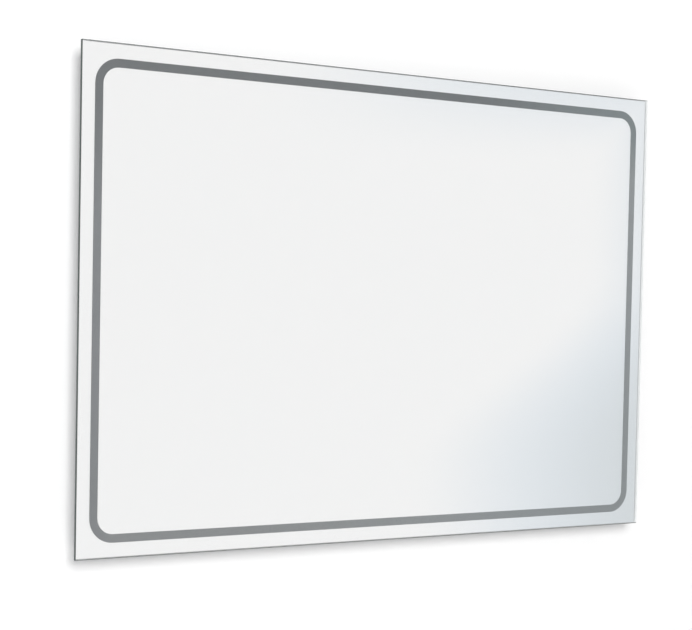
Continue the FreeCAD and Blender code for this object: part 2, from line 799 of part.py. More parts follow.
def make_back_panel():
    """The steel sheet that closes the back inside the return lip, with all its holes."""
    panel = new_body("back_panel")
    outline = new_sketch(panel, "outline", offset="panel_rear")
    draw_rectangle(outline, "0", "0", "glass_width - 2 * panel_inset", "glass_height - 2 * panel_inset",
                   "panel_corner_radius")
    add_pad(panel, outline, "panel_thickness")
    for number, (x, z, patterns) in enumerate(PANEL_ROWS):
        hole = new_sketch(panel, f"screw_hole_{number}", offset="panel_rear")
        draw_circle(hole, x, z, "screw_hole_radius")
        repeat(panel, [add_pocket(panel, hole, "panel_thickness")], patterns)
    rivet = new_sketch(panel, "rivet_hole", offset="panel_rear")
    draw_circle(rivet, *FIRST_RIVET, "rivet_hole_radius")
    repeat(panel, [add_pocket(panel, rivet, "panel_thickness")], RIVET_ROW)

    openings = new_sketch(panel, "openings", offset="panel_rear")
    draw_rectangle(openings, *BOX_PLACE, "hatch_length", "hatch_width", "box_radius")
    for side in (-1, 1):
        draw_circle(openings, f"{BOX_PLACE[0]} + {side} * box_screw_reach", BOX_PLACE[1], "screw_hole_radius")
        ear = f"{DRIVER_PLACE[0]} + {side} * (driver_length + driver_ear_length) / 2"
        draw_circle(openings, ear, DRIVER_PLACE[1], "screw_hole_radius")
    draw_circle(openings, *EARTH_PLACE, "earth_screw_diameter / 2 + fixing_clearance")
    add_pocket(panel, openings, "panel_thickness")

    vents = new_sketch(panel, "vents", offset="panel_rear")
    first = f"{DRIVER_PLACE[0]} - (vent_slots - 1) * vent_pitch / 2"
    away = "(driver_width / 2 + vent_gap + vent_slot_height / 2)"
    for side in (-1, 1):
        draw_rectangle(vents, first, f"{DRIVER_PLACE[1]} + {side} * {away}", "vent_slot_width",
                       "vent_slot_height", "vent_slot_width / 2")
    slot = add_pocket(panel, vents, "panel_thickness")
    repeat(panel, [slot], [("X_Axis", "(vent_slots - 1) * vent_pitch", "vent_slots")])
    return panel


def make_panel_screws():
    """The screws that hold the back panel on the channel floor."""
    screws = new_body("back_panel_screws")
    for number, (x, z, patterns) in enumerate(PANEL_ROWS):
        features = draw_screw(screws, f"screw_{number}", x, z, "panel_rear", "screw_length")
        repeat(screws, features, patterns)
    return screws


def make_hanger(name, side):
    """A folded hanger: the plate on the panel, the seat on the rail's lip and the hook behind the lip."""
    hanger = new_body("hanger_" + name, hung=False)
    section = new_sketch(hanger, "section", "YZ_Plane")
    hook_front = "(hook_rear + hanger_thickness)"
    plate_rear = "(panel_rear - hanger_thickness)"
    draw_outline(section, [
        ("-hook_rear", "hook_bottom"),
        ("-hook_rear", "rail_lip_top + hanger_thickness"),
        (f"-{plate_rear}", "rail_lip_top + hanger_thickness"),
        (f"-{plate_rear}", "rail_lip_top + hanger_plate_height"),
        ("-panel_rear", "rail_lip_top + hanger_plate_height"),
        ("-panel_rear", "rail_lip_top"),
        (f"-{hook_front}", "rail_lip_top"),
        (f"-{hook_front}", "hook_bottom"),
    ])
    add_pad(hanger, section, "hanger_length", symmetric=True)
    hole = new_sketch(hanger, "rivet_hole", offset=plate_rear)
    draw_circle(hole, "-(rivets_per_hanger - 1) * rivet_pitch / 2", "rivet_line", "rivet_hole_radius")
    pocket = add_pocket(hanger, hole, "hanger_thickness")
    repeat(hanger, [pocket], [("X_Axis", "(rivets_per_hanger - 1) * rivet_pitch", "rivets_per_hanger")])
    bind(hanger, ".Placement.Base.x", f"{side} * hanger_spacing / 2")
    return hanger


def make_rivets():
    """Blind rivets through the hanger plates and the panel, with their heads at the wall side."""
    rivets = new_body("hanger_rivets")
    x, z = FIRST_RIVET
    profile = new_sketch(rivets, "rivet", "YZ_Plane", offset=x, up=z)
    seat = "(panel_rear - hanger_thickness)"
    draw_outline(profile, [
        (f"-({seat} - rivet_head_height)", "0"),
        (f"-({seat} - rivet_head_height)", "rivet_head_diameter / 2", "rivet_head_height * 0.6"),
        (f"-{seat}", "rivet_head_diameter / 2"),
        (f"-{seat}", "rivet_diameter / 2"),
        ("-floor_rear", "rivet_diameter / 2"),
        ("-floor_rear", "rivet_tail_diameter / 2"),
        ("-(floor_rear + rivet_tail_height)", "rivet_tail_diameter / 2", "rivet_tail_height / 2"),
        ("-(floor_rear + rivet_tail_height)", "0"),
    ])
    repeat(rivets, [add_turned(rivets, profile)], RIVET_ROW)
    return rivets


def make_rating_label():
    """The blank rating label on the wall side of the panel."""
    label = new_body("rating_label")
    outline = new_sketch(label, "outline", offset="panel_rear - label_thickness")
    draw_rectangle(outline, "label_right", "-label_drop", "label_length", "label_width", "label_radius")
    add_pad(label, outline, "label_thickness")
    return label


# ---- the lamp driver ----

def make_driver_case():
    """The driver's tray with two ears, standoffs for the board and holes for the leads in its end walls."""
    case = new_body("driver_case")
    x, z = DRIVER_PLACE
    base = new_sketch(case, "base", offset="floor_rear")
    draw_rectangle(base, x, z, "driver_length + 2 * driver_ear_length", "driver_width", "driver_wall * 2")
    add_pad(case, base, "driver_wall")
    walls = new_sketch(case, "walls", offset="floor_rear + driver_wall")
    draw_rectangle(walls, x, z, "driver_length", "driver_width")
    draw_rectangle(walls, x, z, "driver_length - 2 * driver_wall", "driver_width - 2 * driver_wall")
    add_pad(case, walls, "driver_wall_height - driver_wall")
    standoffs = new_sketch(case, "standoffs", offset="floor_rear + driver_wall")
    for side_x in (-1, 1):
        for side_z in (-1, 1):
            draw_circle(standoffs, f"{x} + {side_x} * (board_length / 2 - standoff_inset)",
                        f"{z} + {side_z} * (board_width / 2 - standoff_inset)", "standoff_diameter / 2")
    add_pad(case, standoffs, "standoff_height")
    ears = new_sketch(case, "ear_holes", offset="floor_rear")
    for side in (-1, 1):
        draw_circle(ears, f"{x} + {side} * (driver_length + driver_ear_length) / 2", z, "screw_hole_radius")
    add_pocket(case, ears, "driver_wall")
    inputs = new_sketch(case, "input_holes", "YZ_Plane", offset=f"{x} + driver_length / 2 - driver_wall")
    for rise in ("live_rise", "neutral_rise"):
        draw_circle(inputs, "-lead_depth", f"{z} + {rise}", "mains_hole_radius")
    add_pocket(case, inputs, "driver_wall")
    outputs = new_sketch(case, "output_holes", "YZ_Plane", offset=f"{x} - driver_length / 2")
    for side in (-1, 1):
        draw_circle(outputs, "-lead_depth", f"{z} + {side} * lamp_lead_pitch / 2", "lamp_hole_radius")
    add_pocket(case, outputs, "driver_wall")
    return case


def make_driver_lid():
    """The lid on the driver's walls, with a rim that locates it inside them."""
    lid = new_body("driver_lid")
    x, z = DRIVER_PLACE
    plate = new_sketch(lid, "plate", offset="driver_lid_rear")
    draw_rectangle(plate, x, z, "driver_length", "driver_width")
    add_pad(lid, plate, "lid_thickness")
    rim = new_sketch(lid, "rim", offset="driver_lid_rear - lid_rim_depth")
    inside = "2 * driver_wall + 2 * lid_clearance"
    draw_rectangle(rim, x, z, f"driver_length - ({inside})", f"driver_width - ({inside})")
    draw_rectangle(rim, x, z, f"driver_length - ({inside}) - 2 * lid_rim_width",
                   f"driver_width - ({inside}) - 2 * lid_rim_width")
    add_pad(lid, rim, "lid_rim_depth")
    return lid


def make_driver_board():
    """The driver's circuit board with the sockets for the mains leads and the lamp leads soldered on it."""
    board = new_body("driver_board")
    x, z = DRIVER_PLACE
    plate = new_sketch(board, "plate", offset="board_rear")
    draw_rectangle(plate, x, z, "board_length", "board_width")
    add_pad(board, plate, "board_thickness")
    sockets = new_sketch(board, "sockets", offset="board_front")
    near_end = "(board_length / 2 - lead_insert - socket_length / 2)"
    draw_rectangle(sockets, f"{x} + {near_end}", f"{z} + (live_rise + neutral_rise) / 2", "socket_length",
                   "mains_lead_pitch + mains_lead_diameter")
    draw_rectangle(sockets, f"{x} - {near_end}", z, "socket_length", "2 * lamp_lead_pitch")
    add_pad(board, sockets, "socket_depth")
    return board


def make_driver_parts():
    """What stands on the driver's board: the transformer, two smoothing cans and a choke."""
    x, z = DRIVER_PLACE
    transformer = new_body("driver_transformer")
    core = new_sketch(transformer, "core", offset="board_front")
    draw_rectangle(core, x, z, "transformer_length", "transformer_width")
    add_pad(transformer, core, "transformer_height")
    relief = new_sketch(transformer, "windows", offset="board_front")
    bar = "(transformer_width - winding_length) / 2"
    for side in (-1, 1):
        draw_rectangle(relief, f"{x} + {side} * transformer_length / 4",
                       f"{z} + {side} * (transformer_width - {bar}) / 2", "transformer_length / 6", bar)
    add_pocket(transformer, relief, "transformer_height")
    cans = new_body("driver_smoothing_cans")
    circles = new_sketch(cans, "circles", offset="board_front")
    for side in (-1, 1):
        draw_circle(circles, f"{x} - board_length / 4", f"{z} + {side} * can_pitch / 2", "can_diameter / 2")
    add_pad(cans, circles, "can_height")
    choke = new_body("driver_choke")
    outline = new_sketch(choke, "outline", offset="board_front")
    draw_rectangle(outline, f"{x} + board_length / 4", z, "choke_width", "choke_width", "choke_width / 4")
    draw_circle(outline, f"{x} + board_length / 4", z, "choke_width / 5")
    add_pad(choke, outline, "choke_height")
    return [transformer, cans, choke]


def make_driver_screws():
    """The two screws through the panel into the driver's ears."""
    screws = new_body("driver_screws")
    x, z = DRIVER_PLACE
    for number, side in enumerate((-1, 1)):
        ear = f"{x} + {side} * (driver_length + driver_ear_length) / 2"
        draw_screw(screws, f"screw_{number}", ear, z, "panel_rear", "screw_length")
    return screws


# ---- the terminal box ----

def make_terminal_box():
    """The moulded box inside the panel, open towards the wall, with an ear at each end."""
    box = new_body("terminal_box")
    x, z = BOX_PLACE
    shell = new_sketch(box, "shell", offset="floor_rear")
    draw_rectangle(shell, x, z, "box_length", "box_width", "box_radius")
    add_pad(box, shell, "box_height")
    ears = new_sketch(box, "ears", offset="floor_rear")
    draw_rectangle(ears, x, z, "box_length + 2 * box_ear_length", "box_ear_length", "box_wall")
    add_pad(box, ears, "box_ear_thickness")
    hollow = new_sketch(box, "hollow", offset="floor_rear")
    draw_rectangle(hollow, x, z, "box_length - 2 * box_wall", "box_width - 2 * box_wall",
                   "box_radius - box_wall")
    add_pocket(box, hollow, "box_height - box_wall")
    holes = new_sketch(box, "ear_holes", offset="floor_rear")
    for side in (-1, 1):
        draw_circle(holes, f"{x} + {side} * box_screw_reach", z, "screw_hole_radius")
    add_pocket(box, holes, "box_ear_thickness")
    outlets = new_sketch(box, "lead_outlets", "YZ_Plane", offset=f"{x} - box_length / 2")
    for rise in ("live_rise", "neutral_rise"):
        draw_circle(outlets, "-lead_depth", f"{z} + {rise}", "mains_hole_radius")
    add_pocket(box, outlets, "box_wall")
    earth = new_sketch(box, "earth_outlet", "XY_Plane", offset=f"{z} + box_width / 2 - box_wall")
    draw_circle(earth, EARTH_PLACE[0], "-lead_depth", "mains_hole_radius")
    add_pocket(box, earth, "box_wall")
    return box


def make_terminal_cover():
    """The plate over the hatch at the wall side, with the hole for the cable bush."""
    cover = new_body("terminal_box_cover")
    x, z = BOX_PLACE
    plate = new_sketch(cover, "plate", offset="cover_rear")
    draw_rectangle(plate, x, z, "cover_length", "cover_width", "box_radius")
    draw_circle(plate, *INLET_PLACE, "inlet_neck_diameter / 2")
    for side in (-1, 1):
        draw_circle(plate, f"{x} + {side} * box_screw_reach", z, "screw_hole_radius")
    add_pad(cover, plate, "cover_thickness")
    return cover


def make_cover_screws():
    """The two screws that clamp the cover, the panel and the terminal box together."""
    screws = new_body("terminal_cover_screws")
    x, z = BOX_PLACE
    for number, side in enumerate((-1, 1)):
        ear = f"{x} + {side} * box_screw_reach"
        draw_screw(screws, f"screw_{number}", ear, z, "cover_rear", "screw_length")
    return screws


def make_bush(label, x, z, rear, wall, bore, neck, flange, flange_thickness):
    """A rubber bush through a wall that starts at depth rear, with a flange on both sides."""
    bush = new_body(label)
    profile = new_sketch(bush, "profile", "YZ_Plane", offset=x, up=z)
    front = f"(({rear}) + ({wall}))"
    rounding = f"({flange_thickness}) / 2"
    draw_outline(profile, [
        (f"-(({rear}) - ({flange_thickness}))", f"({bore}) / 2"),
        (f"-(({rear}) - ({flange_thickness}))", f"({flange}) / 2", rounding),
        (f"-({rear})", f"({flange}) / 2"),
        (f"-({rear})", f"({neck}) / 2"),
        (f"-{front}", f"({neck}) / 2"),
        (f"-{front}", f"({flange}) / 2"),
        (f"-({front} + ({flange_thickness}))", f"({flange}) / 2", rounding),
        (f"-({front} + ({flange_thickness}))", f"({bore}) / 2"),
    ])
    add_turned(bush, profile)
    return bush


def make_cable_bush():
    """The bush in the cover that the mains cable comes in through."""
    x, z = INLET_PLACE
    return make_bush("cable_bush", x, z, "cover_rear", "cover_thickness", "inlet_bore",
                     "inlet_neck_diameter - 2 * fixing_clearance", "inlet_flange_diameter",
                     "inlet_flange_thickness")


def make_terminal_block():
    """The three-way block on the box's floor, with blind lead holes above and below and six screw holes."""
    block = new_body("terminal_block")
    x, z = BOX_PLACE
    centre_x = f"{x} + block_right"
    centre_z = f"{z} - block_drop"
    body = new_sketch(block, "body", offset="block_rear")
    draw_rectangle(body, centre_x, centre_z, "block_length", "block_width")
    add_pad(block, body, "block_height")
    ways = [f"{centre_x} + {way} * way_pitch" for way in (-1, 0, 1)]
    starts = {"upper": f"{z} + block_top - lead_insert", "lower": f"{centre_z} - block_width / 2"}
    for name, start in starts.items():
        leads = new_sketch(block, name + "_lead_holes", "XY_Plane", offset=start)
        for way in ways:
            draw_circle(leads, way, "-lead_depth", "mains_hole_radius")
        add_pocket(block, leads, "lead_insert")
    screws = new_sketch(block, "screw_holes", offset="block_rear")
    for way in ways:
        for side in (-1, 1):
            draw_circle(screws, way, f"{centre_z} + {side} * block_screw_spread / 2",
                        "block_screw_diameter / 2 + fixing_clearance")
    add_pocket(block, screws, "block_screw_sink + block_screw_length")
    return block


def make_block_screws():
    """The six clamping screws of the terminal block, a little below its face."""
    screws = new_body("terminal_block_screws")
    x, z = BOX_PLACE
    circles = new_sketch(screws, "circles", offset="block_rear + block_screw_sink")
    slots = new_sketch(screws, "slots", offset="block_rear + block_screw_sink")
    for way in (-1, 0, 1):
        for side in (-1, 1):
            place = (f"{x} + block_right + {way} * way_pitch",
                     f"{z} - block_drop + {side} * block_screw_spread / 2")
            draw_circle(circles, *place, "block_screw_diameter / 2")
            draw_rectangle(slots, *place, "block_screw_diameter * 2", "block_screw_diameter / 5")
    add_pad(screws, circles, "block_screw_length")
    add_pocket(screws, slots, "block_screw_length / 5")
    return screws


# ---- the earth connection ----

def make_earth_pieces():
    """The stud screw, its nut at the wall side, and the ring tag under its head for the earth lead."""
    x, z = EARTH_PLACE
    screw = new_body("earth_screw")
    profile = new_sketch(screw, "profile", "YZ_Plane", offset=x, up=z)
    tip = "(tag_front - earth_screw_length)"
    head = "(tag_front + earth_head_height)"
    draw_outline(profile, [
        (f"-{tip}", "0"), (f"-{tip}", "earth_screw_diameter / 2"),
        ("-tag_front", "earth_screw_diameter / 2"), ("-tag_front", "earth_head_diameter / 2"),
        (f"-{head}", "earth_head_diameter / 2", "earth_head_height / 2"), (f"-{head}", "0"),
    ])
    add_turned(screw, profile)
    nut = new_body("earth_nut")
    flats = new_sketch(nut, "flats", offset="panel_rear - earth_nut_height")
    draw_hexagon(flats, x, z, "earth_nut_width")
    draw_circle(flats, x, z, "earth_screw_diameter / 2 + fixing_clearance")
    add_pad(nut, flats, "earth_nut_height")
    tag = new_body("earth_tag")
    ring = new_sketch(tag, "ring", offset="floor_rear")
    draw_circle(ring, x, z, "tag_ring_diameter / 2")
    add_pad(tag, ring, "tag_thickness")
    neck = new_sketch(tag, "neck", offset="floor_rear")
    length = "(tag_barrel_distance + tag_barrel_length)"
    draw_rectangle(neck, x, f"{z} - {length} / 2", "tag_neck_width", length)
    add_pad(tag, neck, "tag_thickness")
    barrel = new_sketch(tag, "barrel", "XY_Plane", offset=f"{z} - {length}")
    draw_circle(barrel, x, "-(floor_rear + tag_neck_width / 2)", "tag_neck_width / 2")
    add_pad(tag, barrel, "tag_barrel_length")
    hole = new_sketch(tag, "hole", offset="floor_rear")
    draw_circle(hole, x, z, "earth_screw_diameter / 2 + fixing_clearance")
    add_pocket(tag, hole, "tag_thickness")
    return [screw, nut, tag]


# ---- the leads ----

def rounded_path(points):
    """Straight runs joined by tangent arcs, each as large as its two runs allow, and the arcs' radii."""
    edges = []
    radii = []
    start = points[0]
    for before, corner, after in zip(points, points[1:], points[2:]):
        into = corner - before
        out = after - corner
        half_turn = into.getAngle(out) / 2
        setback = 0.45 * min(into.Length, out.Length)
        first = corner - into.normalize() * setback
        last = corner + out.normalize() * setback
        towards = (first + last) * 0.5 - corner
        radius = setback / math.tan(half_turn)
        radii.append(radius)
        centre = corner + towards.normalize() * (radius / math.cos(half_turn))
        middle = centre + (corner - centre).normalize() * radius
        edges.append(Part.LineSegment(start, first).toShape())
        edges.append(Part.Arc(first, middle, last).toShape())
        start = last
    edges.append(Part.LineSegment(start, points[-1]).toShape())
    return Part.Wire(edges), radii


def make_lead(label, places, diameter):
    """A round lead along a rounded path; its volume must be its section times its length."""
    points = [FreeCAD.Vector(value(x), -value(depth), value(z)) for x, z, depth in places]
    path, radii = rounded_path(points)
    radius = value(diameter) / 2
    start_direction = points[1] - points[0]
    section = Part.Wire([Part.Circle(points[0], start_direction, radius).toShape()])
    tube = path.makePipeShell([section], True, False)
    expected = math.pi * radius ** 2 * path.Length
    if abs(tube.Volume - expected) > 0.002 * expected:
        raise RuntimeError(label + " isn't a clean tube")
    print(f"{label}: {path.Length:.0f} mm long, least radius {min(radii, default=0):.1f} mm")
    lead = doc.addObject("Part::Feature", label)
    lead.Label = label
    lead.Shape = tube
    bind(lead, ".Placement.Base.z", "-hang_height")
    return lead


def make_mains_leads():
    """Live and neutral from the terminal block to the driver, and earth from the block to its tag."""
    x, z = BOX_PLACE
    inside_block = f"{z} + block_top - lead_insert"
    socket_face = f"{DRIVER_PLACE[0]} + board_length / 2 - lead_insert"
    leads = []
    for label, way, rise in (("live_lead", -1, "live_rise"), ("neutral_lead", 0, "neutral_rise")):
        way_x = f"{x} + block_right + {way} * way_pitch"
        leads.append(make_lead(label, [
            (way_x, inside_block, "lead_depth"),
            (way_x, f"{z} + {rise}", "lead_depth"),
            (socket_face, f"{z} + {rise}", "lead_depth"),
        ], "mains_lead_diameter"))
    earth_x, earth_z = EARTH_PLACE
    tag_end = f"({earth_z} - tag_barrel_distance - tag_barrel_length)"
    box_top = f"({z} + box_width / 2)"
    tag_depth = "floor_rear + tag_neck_width / 2"
    leads.append(make_lead("earth_lead", [
        (earth_x, inside_block, "lead_depth"),
        (earth_x, f"{box_top} + ({tag_end} - {box_top}) * 0.2", "lead_depth"),
        (earth_x, f"{box_top} + ({tag_end} - {box_top}) * 0.7", tag_depth),
        (earth_x, tag_end, tag_depth),
    ], "mains_lead_diameter"))
    return leads


def make_lamp_leads():
    """Positive and negative from the driver, along the panel and through the frame to the left strip."""
    x, z = DRIVER_PLACE
    driver_end = f"{x} - driver_length / 2 - driver_ear_length"
    strip_x = "-(glass_width / 2 - band_line)"
    wall_x = "-(glass_width / 2 - frame_inner)"
    strip_foot = "-(glass_height / 2 - strip_end)"
    lead_on_strip = "strip_front + lamp_lead_diameter / 2"
    leads = []
    for label, side in (("positive_lead", 1), ("negative_lead", -1)):
        offset = f"{side} * lamp_lead_pitch / 2"
        level = f"{z} + {offset}"
        upright = f"-lamp_lead_left - {offset}"
        entry = f"lamp_entry_height + {offset}"
        leads.append(make_lead(label, [
            (f"{x} - board_length / 2 + lead_insert", level, "lead_depth"),
            (driver_end, level, "lead_depth"),
            (f"{driver_end} - lamp_lead_ramp", level, "lamp_lead_rest"),
            (upright, level, "lamp_lead_rest"),
            (upright, entry, "lamp_lead_rest"),
            (f"{wall_x} + lamp_lead_ramp", entry, "lamp_lead_rest"),
            (f"{wall_x} + lamp_lead_ramp / 4", entry, "lamp_entry_depth"),
            (f"{strip_x} - {offset}", entry, "lamp_entry_depth"),
            (f"{strip_x} - {offset}", f"lamp_entry_height - lamp_lead_entry_rise * 0.65", lead_on_strip),
            (f"{strip_x} - {offset}", strip_foot, lead_on_strip),
        ], "lamp_lead_diameter"))
    return leads


def make_channel_bush():
    """The bush in the left side's inner wall that the lamp leads pass through."""
    bush = new_body("channel_bush", hung=False)
    profile = new_sketch(bush, "profile")
    rounding = "channel_bush_flange_thickness / 2"
    rear = "-channel_bush_flange_thickness"
    front = "profile_wall + channel_bush_flange_thickness"
    neck = "channel_bush_neck / 2 - fixing_clearance"
    draw_outline(profile, [
        (rear, "channel_bush_bore / 2"), (rear, "channel_bush_flange / 2", rounding),
        ("0", "channel_bush_flange / 2"), ("0", neck), ("profile_wall", neck),
        ("profile_wall", "channel_bush_flange / 2"), (front, "channel_bush_flange / 2", rounding),
        (front, "channel_bush_bore / 2"),
    ])
    add_turned(bush, profile)
    bind(bush, ".Placement.Base.x", "-(glass_width / 2 - frame_inner) - profile_wall")
    bind(bush, ".Placement.Base.y", "-lamp_entry_depth")
    bind(bush, ".Placement.Base.z", "lamp_entry_height - hang_height")
    return bush


def make_lead_clips():
    """Two clips with a tunnel for the pair of lamp leads, halfway along their level and upright runs."""
    clips = new_body("lead_clips")
    blocks = new_sketch(clips, "blocks", offset="floor_rear")
    tunnels = new_sketch(clips, "tunnels", offset="floor_rear")
    tunnel_width = "lamp_lead_pitch + lamp_lead_diameter + 2 * clip_tunnel_clearance"
    level = "-electrics_drop"
    driver_end = "(driver_left + driver_length / 2 + driver_ear_length + lamp_lead_ramp)"
    level_clip = (f"-(lamp_lead_left + {driver_end}) / 2", level)
    draw_rectangle(blocks, *level_clip, "clip_length", "clip_width")
    draw_rectangle(tunnels, *level_clip, "clip_length * 2", tunnel_width)
    upright_clip = ("-lamp_lead_left", f"({level} + lamp_entry_height) / 2")
    draw_rectangle(blocks, *upright_clip, "clip_width", "clip_length")
    draw_rectangle(tunnels, *upright_clip, tunnel_width, "clip_length * 2")
    add_pad(clips, blocks, "clip_height")
    add_pocket(clips, tunnels, "clip_tunnel_height")
    return clips


# ---- build, check and write ----

pieces = [make_wall_rail(), make_glass()]
pieces += make_silver()
pieces.append(make_tape("outer_foam_tape", "frame_inset", "outer_flange_end"))
pieces.append(make_tape("inner_foam_tape", "inner_flange_end", "frame_inner"))
pieces += [make_frame_side(name) for name in SIDES]
pieces += [make_corner_key(corner) for corner in CORNERS]
pieces.append(make_key_screws())
pieces += make_wall_pads()
pieces += [make_light_strip(name) for name in SIDES]
pieces += [make_link_ribbon(corner) for corner in ("top_left", "top_right", "bottom_right")]
pieces += [make_back_panel(), make_panel_screws()]
pieces += [make_hanger("left", -1), make_hanger("right", 1), make_rivets(), make_rating_label()]
pieces += [make_driver_case(), make_driver_lid(), make_driver_board(), make_driver_screws()]
pieces += make_driver_parts()
pieces += [make_terminal_box(), make_terminal_cover(), make_cover_screws(), make_cable_bush()]
pieces += [make_terminal_block(), make_block_screws()]
pieces += make_earth_pieces()
pieces += make_mains_leads()
pieces += make_lamp_leads()
pieces += [make_channel_bush(), make_lead_clips()]
doc.recompute()

for thing in doc.Objects:
    if "Invalid" in thing.State or "Error" in thing.State:
        raise RuntimeError(f"{thing.Label} has failed: {thing.State}")

os.makedirs("parts", exist_ok=True)
for piece in pieces:
    if piece.Shape.isNull() or not piece.Shape.isValid() or not piece.Shape.Solids:
        raise RuntimeError(piece.Label + " isn't a valid solid")
    piece.Shape.exportStep(f"parts/{piece.Label}.step")
print(len(pieces), "pieces written")
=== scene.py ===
# %% [markdown]
# # A lighted bathroom mirror
#
# The mirror is a pane of float glass with silver on its back. A narrow band of the silver is left
# out and the glass is sandblasted there, so that lamps behind it can shine through. Here the lamps
# are off and the band is a quiet grey. All solid pieces come from the CAD model. This lesson gives
# them their finishes, rebuilds the pane and its coatings with true optical surfaces, and sets up the
# camera and a plain studio.

import math

import bmesh
import bpy
import numpy as np
from mathutils import Matrix, Vector


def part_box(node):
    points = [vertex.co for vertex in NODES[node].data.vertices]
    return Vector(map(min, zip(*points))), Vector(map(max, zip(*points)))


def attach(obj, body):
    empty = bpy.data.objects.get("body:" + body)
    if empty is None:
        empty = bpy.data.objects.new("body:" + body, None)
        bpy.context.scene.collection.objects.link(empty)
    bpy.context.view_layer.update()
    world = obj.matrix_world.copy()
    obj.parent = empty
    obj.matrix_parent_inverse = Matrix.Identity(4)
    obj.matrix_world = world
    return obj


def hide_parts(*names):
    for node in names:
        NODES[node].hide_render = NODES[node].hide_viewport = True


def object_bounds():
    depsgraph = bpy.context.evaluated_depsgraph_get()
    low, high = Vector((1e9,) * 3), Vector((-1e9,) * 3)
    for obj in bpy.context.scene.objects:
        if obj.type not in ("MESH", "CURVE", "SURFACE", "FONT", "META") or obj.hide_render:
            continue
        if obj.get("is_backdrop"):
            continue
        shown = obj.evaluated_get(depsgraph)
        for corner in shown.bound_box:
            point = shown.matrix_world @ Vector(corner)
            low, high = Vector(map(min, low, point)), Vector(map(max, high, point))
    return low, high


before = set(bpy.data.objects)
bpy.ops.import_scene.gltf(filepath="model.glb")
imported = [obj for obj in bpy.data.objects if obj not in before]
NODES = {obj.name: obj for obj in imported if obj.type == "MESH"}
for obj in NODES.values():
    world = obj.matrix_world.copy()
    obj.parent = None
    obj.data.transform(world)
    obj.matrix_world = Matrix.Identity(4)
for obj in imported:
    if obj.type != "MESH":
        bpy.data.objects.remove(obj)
CAD_BOX = [list(corner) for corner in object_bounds()]
scene = bpy.context.scene
scene.view_settings.view_transform = "Standard"
print(len(NODES), "CAD nodes, box", [[round(value, 4) for value in corner] for corner in CAD_BOX])

# %% [markdown]
# ## The camera
#
# The photograph is taken from the left, with the camera level with the middle of the mirror. The
# four glass corners and the straight edges of the band fix the lens, the place and the turn of the
# camera. Matching the picture by eye would do for a sketch, but in a mirror a small slip of the angle
# shows at once. Upright lines stay nearly upright in the photograph, so the camera hardly tilts, and
# a small shift of the lens sets the mirror a little above the middle of the picture.

# %% Place the camera
PICTURE = (692, 630)
FOCAL_PIXELS = 1661.2
HORIZON_ROW = 375.0
SENSOR_WIDTH = 36.0
FARTHEST = 50.0
CAMERA_PLACE = Vector((-1.3702, -2.1191, -0.2312))
TURN, TILT, ROLL = (math.radians(angle) for angle in (-31.85, 2.32, 1.15))


def camera_axes(turn, tilt, roll):
    """The camera's right, up and backward directions as the columns of a matrix.

    A point of the room is first written as (right, down, into the wall). It is then turned about
    the downward axis, tilted about the rightward one and rolled about the last.
    """
    to_wall = Matrix(((1, 0, 0), (0, 0, -1), (0, 1, 0)))
    turned = Matrix.Rotation(roll, 3, "Z") @ Matrix.Rotation(tilt, 3, "X")
    turned = turned @ Matrix.Rotation(turn, 3, "Y")
    right, down, forward = (turned @ to_wall).row
    return Matrix((right, -down, -forward)).transposed()


lens = bpy.data.cameras.new("photograph_lens")
lens.sensor_fit = "HORIZONTAL"
lens.sensor_width = SENSOR_WIDTH
lens.lens = SENSOR_WIDTH * FOCAL_PIXELS / PICTURE[0]
lens.shift_y = (HORIZON_ROW - PICTURE[1] / 2) / PICTURE[0]
lens.clip_end = FARTHEST
camera = bpy.data.objects.new("photograph_camera", lens)
camera.matrix_world = Matrix.Translation(CAMERA_PLACE) @ camera_axes(TURN, TILT, ROLL).to_4x4()
scene.collection.objects.link(camera)
scene.camera = camera
print(f"lens {lens.lens:.1f} mm, upward shift {lens.shift_y:.3f}")

# %% [markdown]
# ## The studio
#
# A mirror shows the room in front of it, so the room matters as much as the mirror. A large white
# card stands opposite. Beyond its soft edges the studio is dimmer and a little cooler, and that is
# the pale grey that creeps in at the lower right. Cards could be modelled as sheets in the room, but
# they would stand in the way of lamps and camera. So the card is written into the world as angles
# from the mirror's own axis, with soft steps between card and studio. Surfaces that only scatter
# light get an even, neutral level instead, so that their colours come out as they are written.

# %% Shorthands for nodes
def wire(tree, value, socket):
    """Link a socket to another, or set it to a plain value."""
    if isinstance(value, bpy.types.NodeSocket):
        tree.links.new(value, socket)
    else:
        socket.default_value = value


def maths(tree, operation, *values):
    """The result of one Math node."""
    node = tree.nodes.new("ShaderNodeMath")
    node.operation = operation
    for value, socket in zip(values, node.inputs):
        wire(tree, value, socket)
    return node.outputs[0]


def chain(tree, operation, first, *others):
    """One operation over a row of values, from left to right."""
    for other in others:
        first = maths(tree, operation, first, other)
    return first


def ease(tree, value, start, end, low=0.0, high=1.0):
    """A soft step: low up to start, high from end on, and 3t^2 - 2t^3 of the way between them."""
    node = tree.nodes.new("ShaderNodeMapRange")
    node.interpolation_type = "SMOOTHSTEP"
    for number, socket in zip((value, start, end, low, high), node.inputs):
        wire(tree, number, socket)
    return node.outputs["Result"]


def mix_colours(tree, share, first, second):
    """The first colour where share is 0, the second where it is 1."""
    node = tree.nodes.new("ShaderNodeMix")
    node.data_type = "RGBA"
    wire(tree, share, node.inputs["Factor"])
    for colour, name in ((first, "A"), (second, "B")):
        socket = next(s for s in node.inputs if s.name == name and s.type == "RGBA")
        wire(tree, colour if isinstance(colour, bpy.types.NodeSocket) else (*colour, 1), socket)
    return next(s for s in node.outputs if s.type == "RGBA")


def shade(colour, factor):
    """A colour made lighter or darker by a factor."""
    return tuple(value * factor for value in colour)


print("shorthands: wire, maths, chain, ease, mix_colours and shade")

